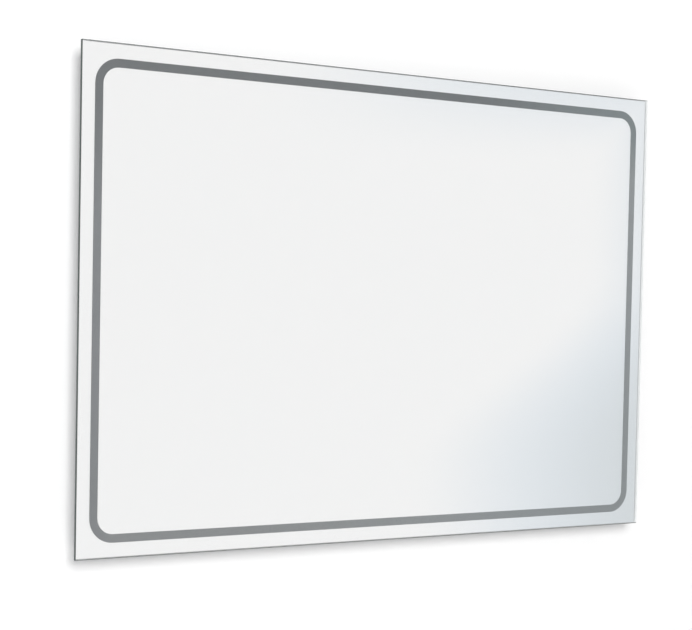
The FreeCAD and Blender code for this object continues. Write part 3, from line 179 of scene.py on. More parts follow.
# %% The world around the mirror
CARD_WHITE = (0.938, 0.936, 0.938)
STUDIO_GREY = (0.684, 0.722, 0.748)
FRINGE_BLUE = (0.73, 0.86, 1.00)
FRINGE_SHARE = 0.15
SCATTERED_LIGHT = 0.41

# Soft steps in degrees: where the step starts and ends, then the values before and after it.
CARD_EDGE_BY_HEIGHT = (-5.5, 1.5, 38.1, 42.2)
HALF_STEP_BY_HEIGHT = (-6.0, 1.0, 4.2, 2.3)
REAR_CARD_BY_SIDE = (110.0, 150.0, 1.0, 0.0)
FLOOR_GLOW_BY_HEIGHT = (-26.0, -11.0)
CORNER_BY_HEIGHT = (5.0, 9.5)
CORNER_BY_SIDE = (28.0, 42.0, 0.0, 0.9)
CEILING_BY_HEIGHT = (20.0, 60.0)


def studio_card(tree):
    """The colour of the studio in each direction.

    Each direction is an angle sideways and one upwards from the mirror's axis. The card ends 42
    degrees to the side, with a soft step of 4.6 degrees. Below the horizon it ends at 38, and the step
    is 8.4 degrees wide. Its upper corners and the ceiling are dim as well. A second card hangs behind
    the mirror, and the pale floor brightens everything far below the horizon. With dim the largest of
    these shares, the colour goes from card to studio. Halfway it leans towards blue, by
    4 * dim * (1 - dim) times the fringe's share.
    """
    direction = tree.nodes.new("ShaderNodeSeparateXYZ")
    wire(tree, tree.nodes.new("ShaderNodeTexCoord").outputs["Generated"], direction.inputs[0])
    x, y, z = direction.outputs
    degrees = 180 / math.pi
    forwards = maths(tree, "MULTIPLY", y, -1.0)
    sideways = maths(tree, "ARCTAN2", maths(tree, "ABSOLUTE", x), forwards)
    sideways = maths(tree, "MULTIPLY", sideways, degrees)
    upwards = maths(tree, "MULTIPLY", maths(tree, "ARCSINE", z), degrees)
    edge = ease(tree, upwards, *CARD_EDGE_BY_HEIGHT)
    half_step = ease(tree, upwards, *HALF_STEP_BY_HEIGHT)
    step_start = maths(tree, "SUBTRACT", edge, half_step)
    step_end = maths(tree, "ADD", edge, half_step)
    before_rear_card = ease(tree, sideways, *REAR_CARD_BY_SIDE)
    above_floor = ease(tree, upwards, *FLOOR_GLOW_BY_HEIGHT)
    side = ease(tree, sideways, step_start, step_end)
    side = chain(tree, "MULTIPLY", side, before_rear_card, above_floor)
    upper_part = ease(tree, upwards, *CORNER_BY_HEIGHT)
    corner = chain(tree, "MULTIPLY", upper_part, ease(tree, sideways, *CORNER_BY_SIDE), before_rear_card)
    ceiling = ease(tree, upwards, *CEILING_BY_HEIGHT)
    dim = chain(tree, "MAXIMUM", side, corner, ceiling)
    studio = mix_colours(tree, dim, CARD_WHITE, STUDIO_GREY)
    halfway = maths(tree, "MULTIPLY", dim, maths(tree, "SUBTRACT", 1.0, dim))
    fringe = maths(tree, "MULTIPLY", halfway, 4 * FRINGE_SHARE)
    return mix_colours(tree, fringe, studio, FRINGE_BLUE)


world = bpy.data.worlds.new("studio")
world.use_nodes = True
scene.world = world
tree = world.node_tree
tree.nodes.clear()
ray = tree.nodes.new("ShaderNodeLightPath").outputs
mirrored = maths(tree, "MAXIMUM", ray["Is Glossy Ray"], ray["Is Transmission Ray"])
never_scattered = maths(tree, "LESS_THAN", ray["Diffuse Depth"], 0.5)
mirrored = maths(tree, "MULTIPLY", mirrored, never_scattered)
colour = mix_colours(tree, mirrored, (SCATTERED_LIGHT,) * 3, studio_card(tree))
colour = mix_colours(tree, ray["Is Camera Ray"], colour, (1.0, 1.0, 1.0))
background = tree.nodes.new("ShaderNodeBackground")
wire(tree, colour, background.inputs["Color"])
output = tree.nodes.new("ShaderNodeOutputWorld")
wire(tree, background.outputs[0], output.inputs["Surface"])
print("world with", len(tree.nodes), "nodes")

# %% [markdown]
# ## Wall, floor and lamps
#
# A white wall stands behind the mirror and takes its soft shadow, and a pale floor lies below. Both
# are seen from their front only, so that the mirror can also be looked at from behind. The wall is
# left out of the way of light and of reflections too, because it would otherwise leave the back of
# the mirror in the dark. The mirror doesn't show the floor either, whose far side would draw a line
# across it. A closed white room would be simpler, but it would hide the back. One large soft lamp
# stands in front, above the mirror and a little to its left, and the shadow shows as a soft rim on
# the left and below. A second lamp lights the back.

# %% Build the stage
WALL_GAP = 0.0004
WALL_LEFT, WALL_RIGHT, WALL_TOP = -3.5, 4.5, 2.4
WALL_WHITE, WALL_FADE = 0.93, (3.0, 3.5)
FLOOR_HEIGHT = -1.62
FLOOR_REACH = 4.0
FLOOR_WHITE, FLOOR_FADE = 0.90, (2.4, 4.0)
STAGE_LIFT = 0.10
PLASTER_LUMPS_PER_METRE = 3.0
PLASTER_DARKEST = 0.985


def stage_material(name, white, fade):
    """A pale scattering surface with a faint plaster grain, seen from its front only.

    What the eye sees of it is raised by the stage's lift. Between the two distances of fade, in
    metres from the origin, the surface dissolves into the white of the studio.
    """
    material = bpy.data.materials.new(name)
    material.use_nodes = True
    tree = material.node_tree
    tree.nodes.clear()
    place = tree.nodes.new("ShaderNodeTexCoord").outputs["Object"]
    grain = tree.nodes.new("ShaderNodeTexNoise")
    wire(tree, place, grain.inputs["Vector"])
    grain.inputs["Scale"].default_value = PLASTER_LUMPS_PER_METRE
    diffuse = tree.nodes.new("ShaderNodeBsdfDiffuse")
    tone = mix_colours(tree, grain.outputs["Fac"], (white,) * 3, (white * PLASTER_DARKEST,) * 3)
    wire(tree, tone, diffuse.inputs["Color"])
    ray = tree.nodes.new("ShaderNodeLightPath").outputs
    seen = chain(tree, "MAXIMUM", ray["Is Camera Ray"], ray["Is Glossy Ray"], ray["Is Transmission Ray"])
    glow = tree.nodes.new("ShaderNodeEmission")
    wire(tree, maths(tree, "MULTIPLY", seen, STAGE_LIFT), glow.inputs["Strength"])
    front = tree.nodes.new("ShaderNodeAddShader")
    wire(tree, diffuse.outputs[0], front.inputs[0])
    wire(tree, glow.outputs[0], front.inputs[1])
    away = tree.nodes.new("ShaderNodeVectorMath")
    away.operation = "LENGTH"
    wire(tree, place, away.inputs[0])
    from_behind = tree.nodes.new("ShaderNodeNewGeometry").outputs["Backfacing"]
    hidden = maths(tree, "MAXIMUM", from_behind, ease(tree, away.outputs["Value"], *fade))
    sides = tree.nodes.new("ShaderNodeMixShader")
    wire(tree, hidden, sides.inputs[0])
    wire(tree, front.outputs[0], sides.inputs[1])
    wire(tree, tree.nodes.new("ShaderNodeBsdfTransparent").outputs[0], sides.inputs[2])
    wire(tree, sides.outputs[0], tree.nodes.new("ShaderNodeOutputMaterial").inputs["Surface"])
    return material


def stage_sheet(name, corners, material):
    """A flat sheet through four corners. It faces the side from which they run anticlockwise."""
    mesh = bpy.data.meshes.new(name)
    mesh.from_pydata(corners, [], [(0, 1, 2, 3)])
    mesh.materials.append(material)
    sheet = bpy.data.objects.new(name, mesh)
    scene.collection.objects.link(sheet)
    sheet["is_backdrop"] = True
    return sheet


wall_corners = [(x, WALL_GAP, z) for x, z in ((WALL_LEFT, FLOOR_HEIGHT), (WALL_RIGHT, FLOOR_HEIGHT),
                                              (WALL_RIGHT, WALL_TOP), (WALL_LEFT, WALL_TOP))]
wall = stage_sheet("wall", wall_corners, stage_material("wall_paint", WALL_WHITE, WALL_FADE))
wall.visible_diffuse = wall.visible_glossy = wall.visible_shadow = False
floor_corners = [(x * FLOOR_REACH, y * FLOOR_REACH, FLOOR_HEIGHT)
                 for x, y in ((-1, -1), (1, -1), (1, 1), (-1, 1))]
floor = stage_sheet("floor", floor_corners, stage_material("floor_paint", FLOOR_WHITE, FLOOR_FADE))
floor.visible_glossy = floor.visible_transmission = False
print("wall", 1000 * WALL_GAP, "mm behind the mirror, floor at", FLOOR_HEIGHT, "m")

# %% Hang the lamps
MIRROR_MIDDLE = Vector((0.0, 0.0, -0.23))


def soft_lamp(name, place, width, height, power):
    """A soft box that looks at the middle of the mirror, which doesn't show it."""
    light = bpy.data.lights.new(name, "AREA")
    light.shape = "RECTANGLE"
    light.size, light.size_y = width, height
    light.energy = power
    lamp = bpy.data.objects.new(name, light)
    lamp.visible_camera = lamp.visible_glossy = lamp.visible_transmission = False
    lamp.location = place
    lamp.rotation_euler = (MIRROR_MIDDLE - Vector(place)).to_track_quat("-Z", "Y").to_euler()
    scene.collection.objects.link(lamp)


soft_lamp("front_lamp", (-1.35, -4.9, 1.85), width=2.8, height=2.7, power=204)
soft_lamp("back_lamp", (-1.9, 2.3, 1.5), width=2.0, height=1.6, power=62)
print("two lamps that look at", [round(value, 2) for value in MIRROR_MIDDLE])

# %% [markdown]
# ## The pane
#
# The pane is a slab of 5 mm glass with ground edges. Its flat faces are perfectly smooth and clear,
# while the edges are matt from the grinding belt, with a small bevel, the arris, on both sides. A
# box with a bevel would look alike, but then the finishes would have to be sorted out by hand. Here
# one closed mesh carries both finishes: an outline is carried along a profile of four points, and
# the two flat faces close it.

# %% Outlines and lofts
GLASS_LOW, GLASS_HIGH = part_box("mirror_glass")
GLASS_CENTRE = (GLASS_LOW + GLASS_HIGH) / 2
HALF_WIDTH, HALF_HEIGHT = (GLASS_HIGH.x - GLASS_LOW.x) / 2, (GLASS_HIGH.z - GLASS_LOW.z) / 2
GLASS_FRONT, GLASS_REAR = GLASS_LOW.y, GLASS_HIGH.y
print(f"glass {2 * HALF_WIDTH:.3f} x {2 * HALF_HEIGHT:.3f} m, front at {GLASS_FRONT:.4f}")


def outline(inset, radius, depth, steps=12):
    """A rounded rectangle at an inset from the glass edge, as an array (4 * (steps + 1), 3).

    Each corner is its own centre plus radius * (cos a, sin a), with a over a quarter turn. The
    straight sides are the gaps between the corners.
    """
    angles = np.linspace(0, math.pi / 2, steps + 1)[None, :] + np.arange(4)[:, None] * math.pi / 2
    signs = np.array([(1, 1), (-1, 1), (-1, -1), (1, -1)])
    reach = np.array([HALF_WIDTH, HALF_HEIGHT]) - inset - radius
    centres = signs * reach
    x = centres[:, :1] + radius * np.cos(angles) + GLASS_CENTRE.x
    z = centres[:, 1:] + radius * np.sin(angles) + GLASS_CENTRE.z
    return np.stack([x, np.full_like(x, depth), z], axis=-1).reshape(-1, 3)


def lofted(name, rows, ring):
    """A closed mesh through outlines with equally many points: row i is joined to row i + 1 by quads.

    In a ring the last row is joined to the first one; otherwise the first and the last row are closed
    by flat faces.
    """
    count, points = len(rows), len(rows[0])
    lower = np.arange(count if ring else count - 1)[:, None] * points
    upper = (lower + points) % (count * points)
    here = np.arange(points)[None, :]
    there = (here + 1) % points
    quads = np.stack([lower + here, lower + there, upper + there, upper + here], axis=-1).reshape(-1, 4)
    faces = quads.tolist()
    if not ring:
        faces += [list(range(points)), list(range((count - 1) * points, count * points))]
    mesh = bpy.data.meshes.new(name)
    mesh.from_pydata(np.concatenate(rows).tolist(), [], faces)
    shell = bmesh.new()
    shell.from_mesh(mesh)
    bmesh.ops.recalc_face_normals(shell, faces=shell.faces)
    shell.to_mesh(mesh)
    shell.free()
    piece = bpy.data.objects.new(name, mesh)
    scene.collection.objects.link(piece)
    return piece


# %% The glass slab
ARRIS = 0.0010
CORNER_DUBBING = 0.0007
FLAT_FACE = 0.99

pane_rows = [
    outline(ARRIS, CORNER_DUBBING, GLASS_REAR),
    outline(0.0, CORNER_DUBBING, GLASS_REAR - ARRIS),
    outline(0.0, CORNER_DUBBING, GLASS_FRONT + ARRIS),
    outline(ARRIS, CORNER_DUBBING, GLASS_FRONT),
]
pane = lofted("mirror_pane", pane_rows, ring=False)
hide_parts("mirror_glass")
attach(pane, "mirror")
pane.visible_shadow = False
normals = np.empty(3 * len(pane.data.polygons), np.float32)
pane.data.polygons.foreach_get("normal", normals)
flat = np.abs(normals[1::3]) > FLAT_FACE
pane.data.polygons.foreach_set("material_index", np.where(flat, 0, 1).astype(np.int32))
print(len(flat), "faces on the pane,", int(flat.sum()), "of them clear")

# %% [markdown]
# ## Silver and sandblasting
#
# The silver is a film far thinner than a hair, protected by paint, and the two together are built as
# a sheet of 0.2 mm with a bright face and a painted back. The band is the same glass with its skin
# roughened. One sheet with a painted mask could show all three, but the edge of the band would be
# only as sharp as the mask, and the pieces couldn't be taken apart. Each film starts a fraction of a
# hair's breadth behind the glass, because two surfaces in one place would flicker.

# %% Films behind the glass
FILM_GAP = 0.00002
FILM_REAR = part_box("silver_field")[1].y
SILVER_MARGIN = 0.001
BAND_INSET, BAND_WIDTH = 0.021, 0.012
BAND_RADIUS = 0.035
FROST_THICKNESS = 0.00006


def film_ring(name, outer, inner, front, rear):
    """A closed flat ring between two rounded rectangles, each given as (inset, radius)."""
    rows = [outline(*outer, front), outline(*outer, rear), outline(*inner, rear), outline(*inner, front)]
    return lofted(name, rows, ring=True)


film_front = GLASS_REAR + FILM_GAP
band_outer = (BAND_INSET, BAND_RADIUS)
band_inner = (BAND_INSET + BAND_WIDTH, BAND_RADIUS - BAND_WIDTH)
silver_outer = (SILVER_MARGIN, CORNER_DUBBING)
border = film_ring("silver_film_border", silver_outer, band_outer, film_front, FILM_REAR)
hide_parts("silver_border")
field_rows = [outline(*band_inner, film_front), outline(*band_inner, FILM_REAR)]
field = lofted("silver_film_field", field_rows, ring=False)
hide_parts("silver_field")
for film in (border, field):
    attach(film, "mirror")
band = film_ring("frosted_band", band_outer, band_inner, film_front, film_front + FROST_THICKNESS)
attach(band, "mirror")
print("films", border.name, field.name, band.name)

# %% [markdown]
# ## How the finishes are made
#
# Every finish starts from a Principled shader and the object's own coordinates in metres, so a
# pattern has its real size wherever the camera is. Pictures of metal or plastic could be wrapped
# round the pieces instead, but they repeat, blur close up and leave seams. Four things are enough
# for nearly all finishes: noise of a stated grain, which may be drawn out along one direction, a
# blend of two colours, a roughness that follows the noise, and relief of a stated depth.

# %% A material in the making
class Finish:
    """A Principled material and short names for the nodes that its finish needs."""

    def __init__(self, name, colour, roughness, metallic=0.0):
        self.material = bpy.data.materials.new(name)
        self.material.use_nodes = True
        self.tree = self.material.node_tree
        self.shader = self.tree.nodes["Principled BSDF"]
        self.shader.inputs["Base Color"].default_value = (*colour, 1)
        self.shader.inputs["Roughness"].default_value = roughness
        self.shader.inputs["Metallic"].default_value = metallic
        self.coordinates = self.tree.nodes.new("ShaderNodeTexCoord").outputs
        self.place = self.coordinates["Object"]

    def maths(self, operation, *values):
        """The result of one Math node of this material."""
        return maths(self.tree, operation, *values)

    def axis(self, letter, source=None):
        """One coordinate of the place in metres, or of another vector."""
        node = self.tree.nodes.new("ShaderNodeSeparateXYZ")
        wire(self.tree, source or self.place, node.inputs[0])
        return node.outputs[letter]

    def noise(self, grain, drawn=(1, 1, 1), detail=2.0):
        """Noise from 0 to 1 with lumps of grain metres, drawn out by a factor along each axis."""
        mapping = self.tree.nodes.new("ShaderNodeMapping")
        wire(self.tree, self.place, mapping.inputs["Vector"])
        mapping.inputs["Scale"].default_value = [1 / factor for factor in drawn]
        node = self.tree.nodes.new("ShaderNodeTexNoise")
        wire(self.tree, mapping.outputs[0], node.inputs["Vector"])
        node.inputs["Scale"].default_value = 1 / grain
        node.inputs["Detail"].default_value = detail
        return node.outputs["Fac"]

    def step(self, value, start, end, low=0.0, high=1.0):
        """A soft step from low to high, while the value goes from start to end."""
        return ease(self.tree, value, start, end, low, high)

    def colour(self, share, first, second):
        """Blend two colours, drive the base colour with the blend and return it for further use."""
        blend = mix_colours(self.tree, share, first, second)
        wire(self.tree, blend, self.shader.inputs["Base Color"])
        return blend

    def drive(self, name, value):
        """Drive another socket of the shader."""
        wire(self.tree, value, self.shader.inputs[name])

    def gloss(self, pattern, before, after, start=0.3, end=0.7):
        """Take the roughness from before to after, while a pattern goes from start to end."""
        self.drive("Roughness", self.step(pattern, start, end, before, after))

    def relief(self, height, depth):
        """Raise the surface by depth metres where height is 1."""
        bump = self.tree.nodes.new("ShaderNodeBump")
        bump.inputs["Distance"].default_value = depth
        wire(self.tree, height, bump.inputs["Height"])
        wire(self.tree, bump.outputs[0], self.shader.inputs["Normal"])


def wear(finish, *names):
    """Give CAD nodes a finish, in every slot that they have."""
    for name in names:
        for slot in NODES[name].material_slots:
            slot.material = finish.material


print("finishes are made of noise, steps, blends, gloss and relief")

# %% [markdown]
# ## Glass, silver and frost
#
# Float glass is almost free of colour through its thickness, yet its ground edge looks dark and
# slightly green, because light has travelled a long way inside before it comes out there. Silver is
# a metal without colour. Its back is covered by grey paint, so that finish looks at which way a face
# points. The frosted band scatters light from millions of tiny pits.

# %% Clear glass and ground edge
GLASS_IOR = 1.52
PAINTED_EDGE_REFLECTION = 0.42


def clear_glass():
    """Smooth glass with the faintest green and the slow waves of the float bath."""
    finish = Finish("clear_float_glass", (0.997, 1.0, 0.998), 0.0)
    finish.shader.inputs["IOR"].default_value = GLASS_IOR
    finish.shader.inputs["Transmission Weight"].default_value = 1.0
    finish.colour(finish.noise(0.2), (0.996, 1.0, 0.998), (0.998, 1.0, 0.999))
    return finish


def ground_edge():
    """Belt-ground glass with fine marks along the edge: dark grey-green from outside.

    From outside, the dark grey-green is partly the glass's own tint and partly painted shade for
    light lost inside it. From inside, the ground skin is painted pale, as painted light for what it
    scatters. An upright edge also throws back the bright room by total reflection, over more
    bounces than are worth tracing, so there the room's light is added as a faint glow, a painted
    reflection.
    """
    finish = Finish("ground_glass_edge", (0.10, 0.12, 0.115), 0.42)
    finish.shader.inputs["IOR"].default_value = GLASS_IOR
    marks = finish.noise(0.0004, drawn=(30, 1, 30), detail=4.0)
    # Painted shade and light: the dark outer tone is partly the glass's own tint, and the pale inner tone
    # is painted light.
    outside = mix_colours(finish.tree, marks, (0.050, 0.064, 0.060), (0.095, 0.112, 0.106))
    inside = mix_colours(finish.tree, marks, (0.70, 0.71, 0.71), (0.75, 0.76, 0.76))
    from_inside = finish.tree.nodes.new("ShaderNodeNewGeometry").outputs["Backfacing"]
    finish.colour(from_inside, outside, inside)
    upright = finish.maths("ABSOLUTE", finish.axis("X", finish.coordinates["Normal"]))
    # Painted reflection: upright edges glow from inside in place of the room's light.
    finish.shader.inputs["Emission Color"].default_value = (0.95, 0.99, 1.0, 1)
    finish.drive("Emission Strength", chain(finish.tree, "MULTIPLY", upright, from_inside, PAINTED_EDGE_REFLECTION))
    finish.gloss(marks, 0.34, 0.5)
    finish.relief(marks, 0.000015)
    return finish


pane.data.materials.append(clear_glass().material)
pane.data.materials.append(ground_edge().material)
print("the pane wears", [material.name for material in pane.data.materials])

# %% Silver with its painted back
def silver_film():
    """Bright metal towards the glass and grey paint towards the wall."""
    finish = Finish("silver_and_paint", (0.957, 0.957, 0.957), 0.0, metallic=1.0)
    to_wall = finish.step(finish.axis("Y", finish.coordinates["Normal"]), 0.2, 0.6)
    cloud = finish.noise(0.3)
    bright = mix_colours(finish.tree, cloud, (0.955, 0.955, 0.955), (0.959, 0.959, 0.959))
    orange_peel = finish.noise(0.0015, detail=3.0)
    paint = mix_colours(finish.tree, orange_peel, (0.30, 0.32, 0.33), (0.35, 0.37, 0.38))
    finish.colour(to_wall, bright, paint)
    finish.drive("Metallic", finish.maths("SUBTRACT", 1.0, to_wall))
    finish.drive("Roughness", finish.maths("MULTIPLY", to_wall, 0.5))
    return finish


silver = silver_film()
for film in (border, field):
    film.data.materials.append(silver.material)
print("silver on", border.name, "and", field.name)

# %% The frosted band
# Places in metres between which the band's painted shade changes, along the width and up the height.
LEFT_CORNERS = (-0.475, -0.445)
BOTTOM_RUN_RISES = (-0.445, 0.25)
TOP_RUN_RISES = (0.12, 0.44)
SIDES = (-0.45, 0.45)
SIDES_SHADED_FROM = (-0.15, -0.03)
TOP_RUN_STARTS = 0.085


def frost():
    """Sandblasted glass over an unlit lamp channel, with a grain finer than a millimetre.

    The band's grey is its own, but its changes along the ring are painted shade and light: light
    falls into the channels from above, so the top run is painted darker than the sides and the
    bottom, and the sides darken towards it, the left one from further down. The right side is
    painted a little lighter than the left, and so is the right end of the top run.
    """
    finish = Finish("sandblasted_glass", (0.35, 0.365, 0.37), 0.6)
    grain = finish.noise(0.0005, detail=5.0)
    x, z = finish.axis("X"), finish.axis("Z")
    # Painted shade: these tones stand in for the light that falls into the channels, darkest along the top
    # run.
    bottom_run_shade = mix_colours(finish.tree, finish.step(x, *BOTTOM_RUN_RISES),
                             (0.238, 0.250, 0.257), (0.279, 0.301, 0.313))
    lower_runs_shade = mix_colours(finish.tree, finish.step(x, *LEFT_CORNERS), (0.198, 0.209, 0.223), bottom_run_shade)
    top_run_shade = mix_colours(finish.tree, finish.step(x, *TOP_RUN_RISES),
                          (0.106, 0.118, 0.125), (0.168, 0.202, 0.212))
    shade_reaches_from = finish.step(x, *SIDES, *SIDES_SHADED_FROM)
    tone = mix_colours(finish.tree, finish.step(z, shade_reaches_from, TOP_RUN_STARTS), lower_runs_shade, top_run_shade)
    speck = finish.maths("MULTIPLY", finish.step(grain, 0.35, 0.75), 0.35)
    finish.colour(speck, tone, (0.27, 0.285, 0.29))
    finish.gloss(grain, 0.5, 0.72, start=0.25, end=0.75)
    finish.relief(grain, 0.00002)
    return finish


band.data.materials.append(frost().material)
print("frost on", band.name)

# %% [markdown]
# ## Metals
#
# The frame is anodised aluminium, a satin skin over the fine lines that the extrusion die leaves
# along each length. The shader's own anisotropy could stretch the gloss, but it shows no lines. So
# they are noise drawn out 150 times along the profile, and the level and the upright sides need one
# finish each. The rail and the hangers are plain mill aluminium with coarser lines. The keys are
# zinc-plated steel, and the screws are brighter, with a bluish cast.

# %% Drawn, plated and bright metal
DRAWN_OUT = 150
ANODISED = (0.66, 0.67, 0.68)
CORNERS = ("top_left", "top_right", "bottom_left", "bottom_right")


def drawn_metal(name, colour, roughness, along, line=0.0006):
    """Extruded metal: tone, gloss and relief follow lines that run along one axis."""
    finish = Finish(name, colour, roughness, metallic=1.0)
    drawn = tuple(DRAWN_OUT if letter == along else 1 for letter in "XYZ")
    lines = finish.noise(line, drawn=drawn, detail=5.0)
    clouds = finish.noise(0.06, detail=3.0)
    tone = finish.colour(clouds, colour, shade(colour, 0.94))
    finish.colour(finish.step(lines, 0.35, 0.75), tone, shade(colour, 0.86))
    finish.gloss(lines, roughness - 0.06, roughness + 0.08)
    finish.relief(lines, 0.00002)
    return finish


wear(drawn_metal("anodised_level", ANODISED, 0.36, "X"), "frame_top", "frame_bottom")
wear(drawn_metal("anodised_upright", ANODISED, 0.36, "Z"), "frame_left", "frame_right")
wear(drawn_metal("mill_rail", (0.66, 0.67, 0.69), 0.34, "X", line=0.0012), "wall_rail")
wear(drawn_metal("mill_hanger", (0.60, 0.61, 0.63), 0.36, "X", line=0.0010), "hanger_left", "hanger_right")


def plated_metal(name, light, dark, roughness, spangle):
    """Plated or passivated metal: soft patches of two tones, with a gloss that follows them."""
    finish = Finish(name, light, roughness, metallic=1.0)
    patches = finish.noise(spangle, detail=3.0)
    specks = finish.noise(spangle / 12, detail=2.0)
    finish.colour(finish.step(patches, 0.35, 0.65), light, dark)
    finish.gloss(patches, roughness, roughness + 0.12)
    finish.relief(specks, 0.00001)
    return finish


bright_zinc = plated_metal("bright_zinc", (0.62, 0.64, 0.67), (0.50, 0.52, 0.54), 0.22, 0.002)
wear(bright_zinc, "back_panel_screws", "driver_screws", "terminal_cover_screws", "corner_key_screws")
wear(plated_metal("rivet_metal", (0.84, 0.84, 0.85), (0.76, 0.76, 0.77), 0.24, 0.003), "hanger_rivets")
wear(plated_metal("key_zinc", (0.58, 0.59, 0.60), (0.48, 0.49, 0.50), 0.36, 0.006),
     *(f"corner_key_{corner}" for corner in CORNERS))
wear(plated_metal("brass_parts", (0.80, 0.62, 0.30), (0.70, 0.53, 0.25), 0.26, 0.002),
     "terminal_block_screws")
wear(plated_metal("earth_brass_parts", (0.82, 0.70, 0.44), (0.73, 0.61, 0.37), 0.28, 0.002),
     "earth_screw", "earth_nut", "earth_tag")
print("metals on frame, rail, hangers, keys and screws")

# %% [markdown]
# ## The back
#
# The back panel is thin steel with a white powder coat. Powder melts into a skin with a slight
# orange peel, and a back panel that has been handled shows the odd fine scuff. Scuffs could be drawn
# one by one; the highest peaks of drawn-out noise place them just as well. The pads and the bushes
# are black rubber, dull and a little dusty. The rating label is left blank.

# %% Powder coat, moulded plastic and rubber
def powder_coat(name, colour, peel=0.0016):
    """Powder coat: orange peel in the relief, slow drifts in the tone and fine scuffs in the gloss."""
    finish = Finish(name, colour, 0.5)
    skin = finish.noise(peel, detail=2.0)
    drift = finish.noise(0.25, detail=3.0)
    scuffs = finish.step(finish.noise(0.006, drawn=(9, 1, 1), detail=6.0), 0.60, 0.72)
    tone = finish.colour(drift, colour, shade(colour, 0.965))
    finish.colour(scuffs, tone, shade(colour, 0.95))
    finish.gloss(scuffs, 0.48, 0.36, start=0.0, end=1.0)
    finish.relief(skin, 0.00009)
    return finish


def moulded(name, colour, roughness=0.45, grain=0.0007, depth=0.00002, spread=0.06):
    """Moulded plastic: a fine spark-eroded grain and a tone that hardly varies."""
    finish = Finish(name, colour, roughness)
    texture = finish.noise(grain, detail=3.0)
    flow = finish.noise(0.03, detail=2.0)
    tone = finish.colour(flow, colour, shade(colour, 1 - spread))
    finish.colour(finish.step(texture, 0.4, 0.8), tone, shade(colour, 1 - 1.6 * spread))
    finish.gloss(texture, roughness - 0.07, roughness + 0.08)
    finish.relief(texture, depth)
    return finish


wear(powder_coat("white_powder", (0.80, 0.81, 0.81)), "back_panel")
wear(powder_coat("cover_powder", (0.78, 0.79, 0.79), peel=0.0012), "terminal_box_cover")
rubber = moulded("black_rubber", (0.045, 0.045, 0.046), 0.75, grain=0.0005, depth=0.00004, spread=0.25)
wear(rubber, "cable_bush", "channel_bush", *(f"wall_pad_{corner}" for corner in CORNERS))
foam = moulded("closed_cell_foam", (0.075, 0.075, 0.078), 0.9, grain=0.0009, depth=0.00015, spread=0.3)
wear(foam, "outer_foam_tape", "inner_foam_tape")


def blank_label():
    """A bare metallised label: satin film with a fine lengthwise grain."""
    finish = Finish("blank_label", (0.60, 0.62, 0.64), 0.36, metallic=0.7)
    grain = finish.noise(0.0003, drawn=(60, 1, 1), detail=4.0)
    finish.colour(grain, (0.64, 0.66, 0.68), (0.56, 0.58, 0.60))
    finish.gloss(grain, 0.3, 0.44)
    finish.relief(grain, 0.000005)
    return finish


wear(blank_label(), "rating_label")
print("coats, rubber and label")

# %% [markdown]
# ## Inside the case
#
# Little of this shows, through the ventilation slots or the hatch, but every piece has its own
# finish: the white light strips with yellow phosphor on each lamp, the green board with its tracks,
# the ferrite core with tape round it, the cans and the choke, the block and the box, and the leads.
# Tape, stripes and lamp faces are told apart by where they lie on a piece, so that no piece has to
# be cut up for its colours.

# %% Light strips and ribbons
BOARD_FACE = -0.015


def light_strip():
    """White solder mask with darker copper seams, and lamps with a yellow phosphor face.

    Board and lamps are one solid, so the depth tells them apart: the lamps stand in front.
    """
    finish = Finish("light_strip", (0.88, 0.88, 0.86), 0.4)
    depth = finish.axis("Y")
    lamp_face = finish.step(depth, BOARD_FACE - 0.00002, BOARD_FACE - 0.00008)
    board = mix_colours(finish.tree, finish.step(finish.noise(0.004, detail=4.0), 0.5, 0.62),
                        (0.90, 0.90, 0.88), (0.78, 0.74, 0.66))
    finish.colour(lamp_face, board, (0.86, 0.72, 0.22))
    finish.gloss(lamp_face, 0.42, 0.25, start=0.0, end=1.0)
    return finish


wear(light_strip(), *(f"light_strip_{side}" for side in ("top", "right", "bottom", "left")))
ribbon = moulded("ribbon_cable", (0.86, 0.86, 0.84), 0.4, grain=0.0006)
wear(ribbon, *(f"link_ribbon_{corner}" for corner in ("top_left", "top_right", "bottom_right")))
print("four light strips and three ribbons")

# %% Driver and terminal box
TRACK_CELLS_PER_METRE = 260.0
WIRE_WAVES = 600.0


def circuit_board():
    """Green solder mask over copper tracks: the borders of random cells stand for the tracks."""
    finish = Finish("circuit_board", (0.05, 0.27, 0.12), 0.35)
    cells = finish.tree.nodes.new("ShaderNodeTexVoronoi")
    cells.feature = "DISTANCE_TO_EDGE"
    cells.inputs["Scale"].default_value = TRACK_CELLS_PER_METRE
    wire(finish.tree, finish.place, cells.inputs["Vector"])
    track = finish.step(cells.outputs["Distance"], 0.05, 0.12, 1.0, 0.0)
    finish.colour(track, (0.035, 0.20, 0.085), (0.08, 0.36, 0.15))
    finish.relief(track, 0.00004)
    return finish


def banded(name, letter, node, half, inside, outside, roughness):
    """Two colours by the distance from a node's middle along one axis: up to half metres, and beyond."""
    low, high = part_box(node)
    middle = (low + high)["XYZ".index(letter)] / 2
    finish = Finish(name, outside, roughness)
    away = finish.maths("ABSOLUTE", finish.maths("SUBTRACT", finish.axis(letter), middle))
    grain = finish.noise(0.0008, detail=4.0)
    skin = mix_colours(finish.tree, grain, outside, shade(outside, 0.8))
    tape = mix_colours(finish.tree, grain, inside, shade(inside, 0.9))
    finish.colour(finish.step(away, half, half + 0.0002), tape, skin)
    finish.relief(grain, 0.00003)
    return finish


wear(circuit_board(), "driver_board")
taped_core = banded("taped_core", "Z", "driver_transformer", half=0.006,
                    inside=(0.80, 0.62, 0.10), outside=(0.085, 0.085, 0.09), roughness=0.55)
wear(taped_core, "driver_transformer")
wear(moulded("can_sleeve", (0.10, 0.11, 0.15), 0.35, spread=0.1), "driver_smoothing_cans")


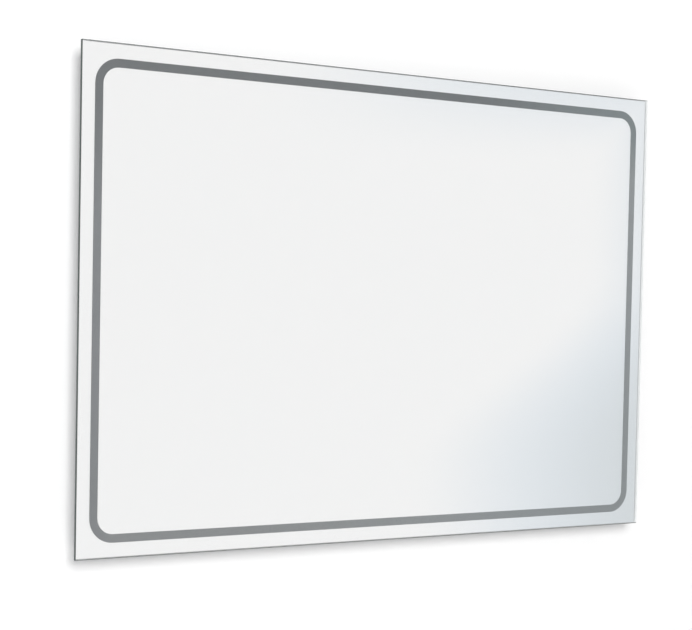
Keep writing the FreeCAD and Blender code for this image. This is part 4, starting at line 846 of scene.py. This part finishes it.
def copper_winding():
    """Enamelled copper wire laid side by side: a wave across the turns gives tone and relief.

    The wave repeats every 0.314 m divided by its scale, which is half a millimetre. Its tone is
    painted shade in the grooves between the turns and painted highlight on their tops.
    """
    finish = Finish("copper_winding", (0.62, 0.30, 0.13), 0.3, metallic=1.0)
    wave = finish.tree.nodes.new("ShaderNodeTexWave")
    wave.bands_direction = "X"
    wave.inputs["Scale"].default_value = WIRE_WAVES
    wire(finish.tree, finish.place, wave.inputs["Vector"])
    # Painted shade and highlight: the tone follows the relief, dark between the turns and light on their
    # tops.
    finish.colour(wave.outputs["Fac"], (0.40, 0.17, 0.07), (0.72, 0.36, 0.16))
    finish.relief(wave.outputs["Fac"], 0.0001)
    return finish


wear(copper_winding(), "driver_choke")
wear(moulded("driver_white", (0.82, 0.83, 0.83), 0.42), "driver_case", "driver_lid")
wear(moulded("box_grey", (0.27, 0.28, 0.29), 0.5, spread=0.1), "terminal_box")
wear(moulded("block_cream", (0.82, 0.79, 0.69), 0.38), "terminal_block")
wear(moulded("clip_white", (0.85, 0.85, 0.83), 0.42), "lead_clips")
print("driver, terminal box and clips")

# %% Leads
FEWEST_NODES = 4


def lead(name, colour):
    """Plastic insulation: glossy, with faint marks from the extruder."""
    return moulded(name, colour, 0.32, grain=0.0012, depth=0.00001, spread=0.12)


wear(lead("brown_lead", (0.22, 0.09, 0.04)), "live_lead")
wear(lead("blue_lead", (0.05, 0.17, 0.50)), "neutral_lead")
wear(lead("red_lead", (0.58, 0.04, 0.03)), "positive_lead")
wear(lead("black_lead", (0.035, 0.035, 0.038)), "negative_lead")
striped_lead = banded("striped_lead", "X", "earth_lead", half=0.0005,
                      inside=(0.80, 0.66, 0.06), outside=(0.05, 0.36, 0.08), roughness=0.35)
wear(striped_lead, "earth_lead")
bare = [name for name, node in NODES.items() for slot in node.material_slots
        if not node.hide_render and len(slot.material.node_tree.nodes) < FEWEST_NODES]
print("nodes without a finish of their own:", bare)

# %% [markdown]
# ## Sizes
#
# The dressed mirror keeps the CAD model's size when its box grows by nothing, so the growth of its box
# over the CAD model's box is printed.

# %% Measure how much the box has grown
VISUAL_BOX = [list(corner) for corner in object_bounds()]
growth = np.array(VISUAL_BOX) - np.array(CAD_BOX)
print("grown by", growth.round(5).tolist())
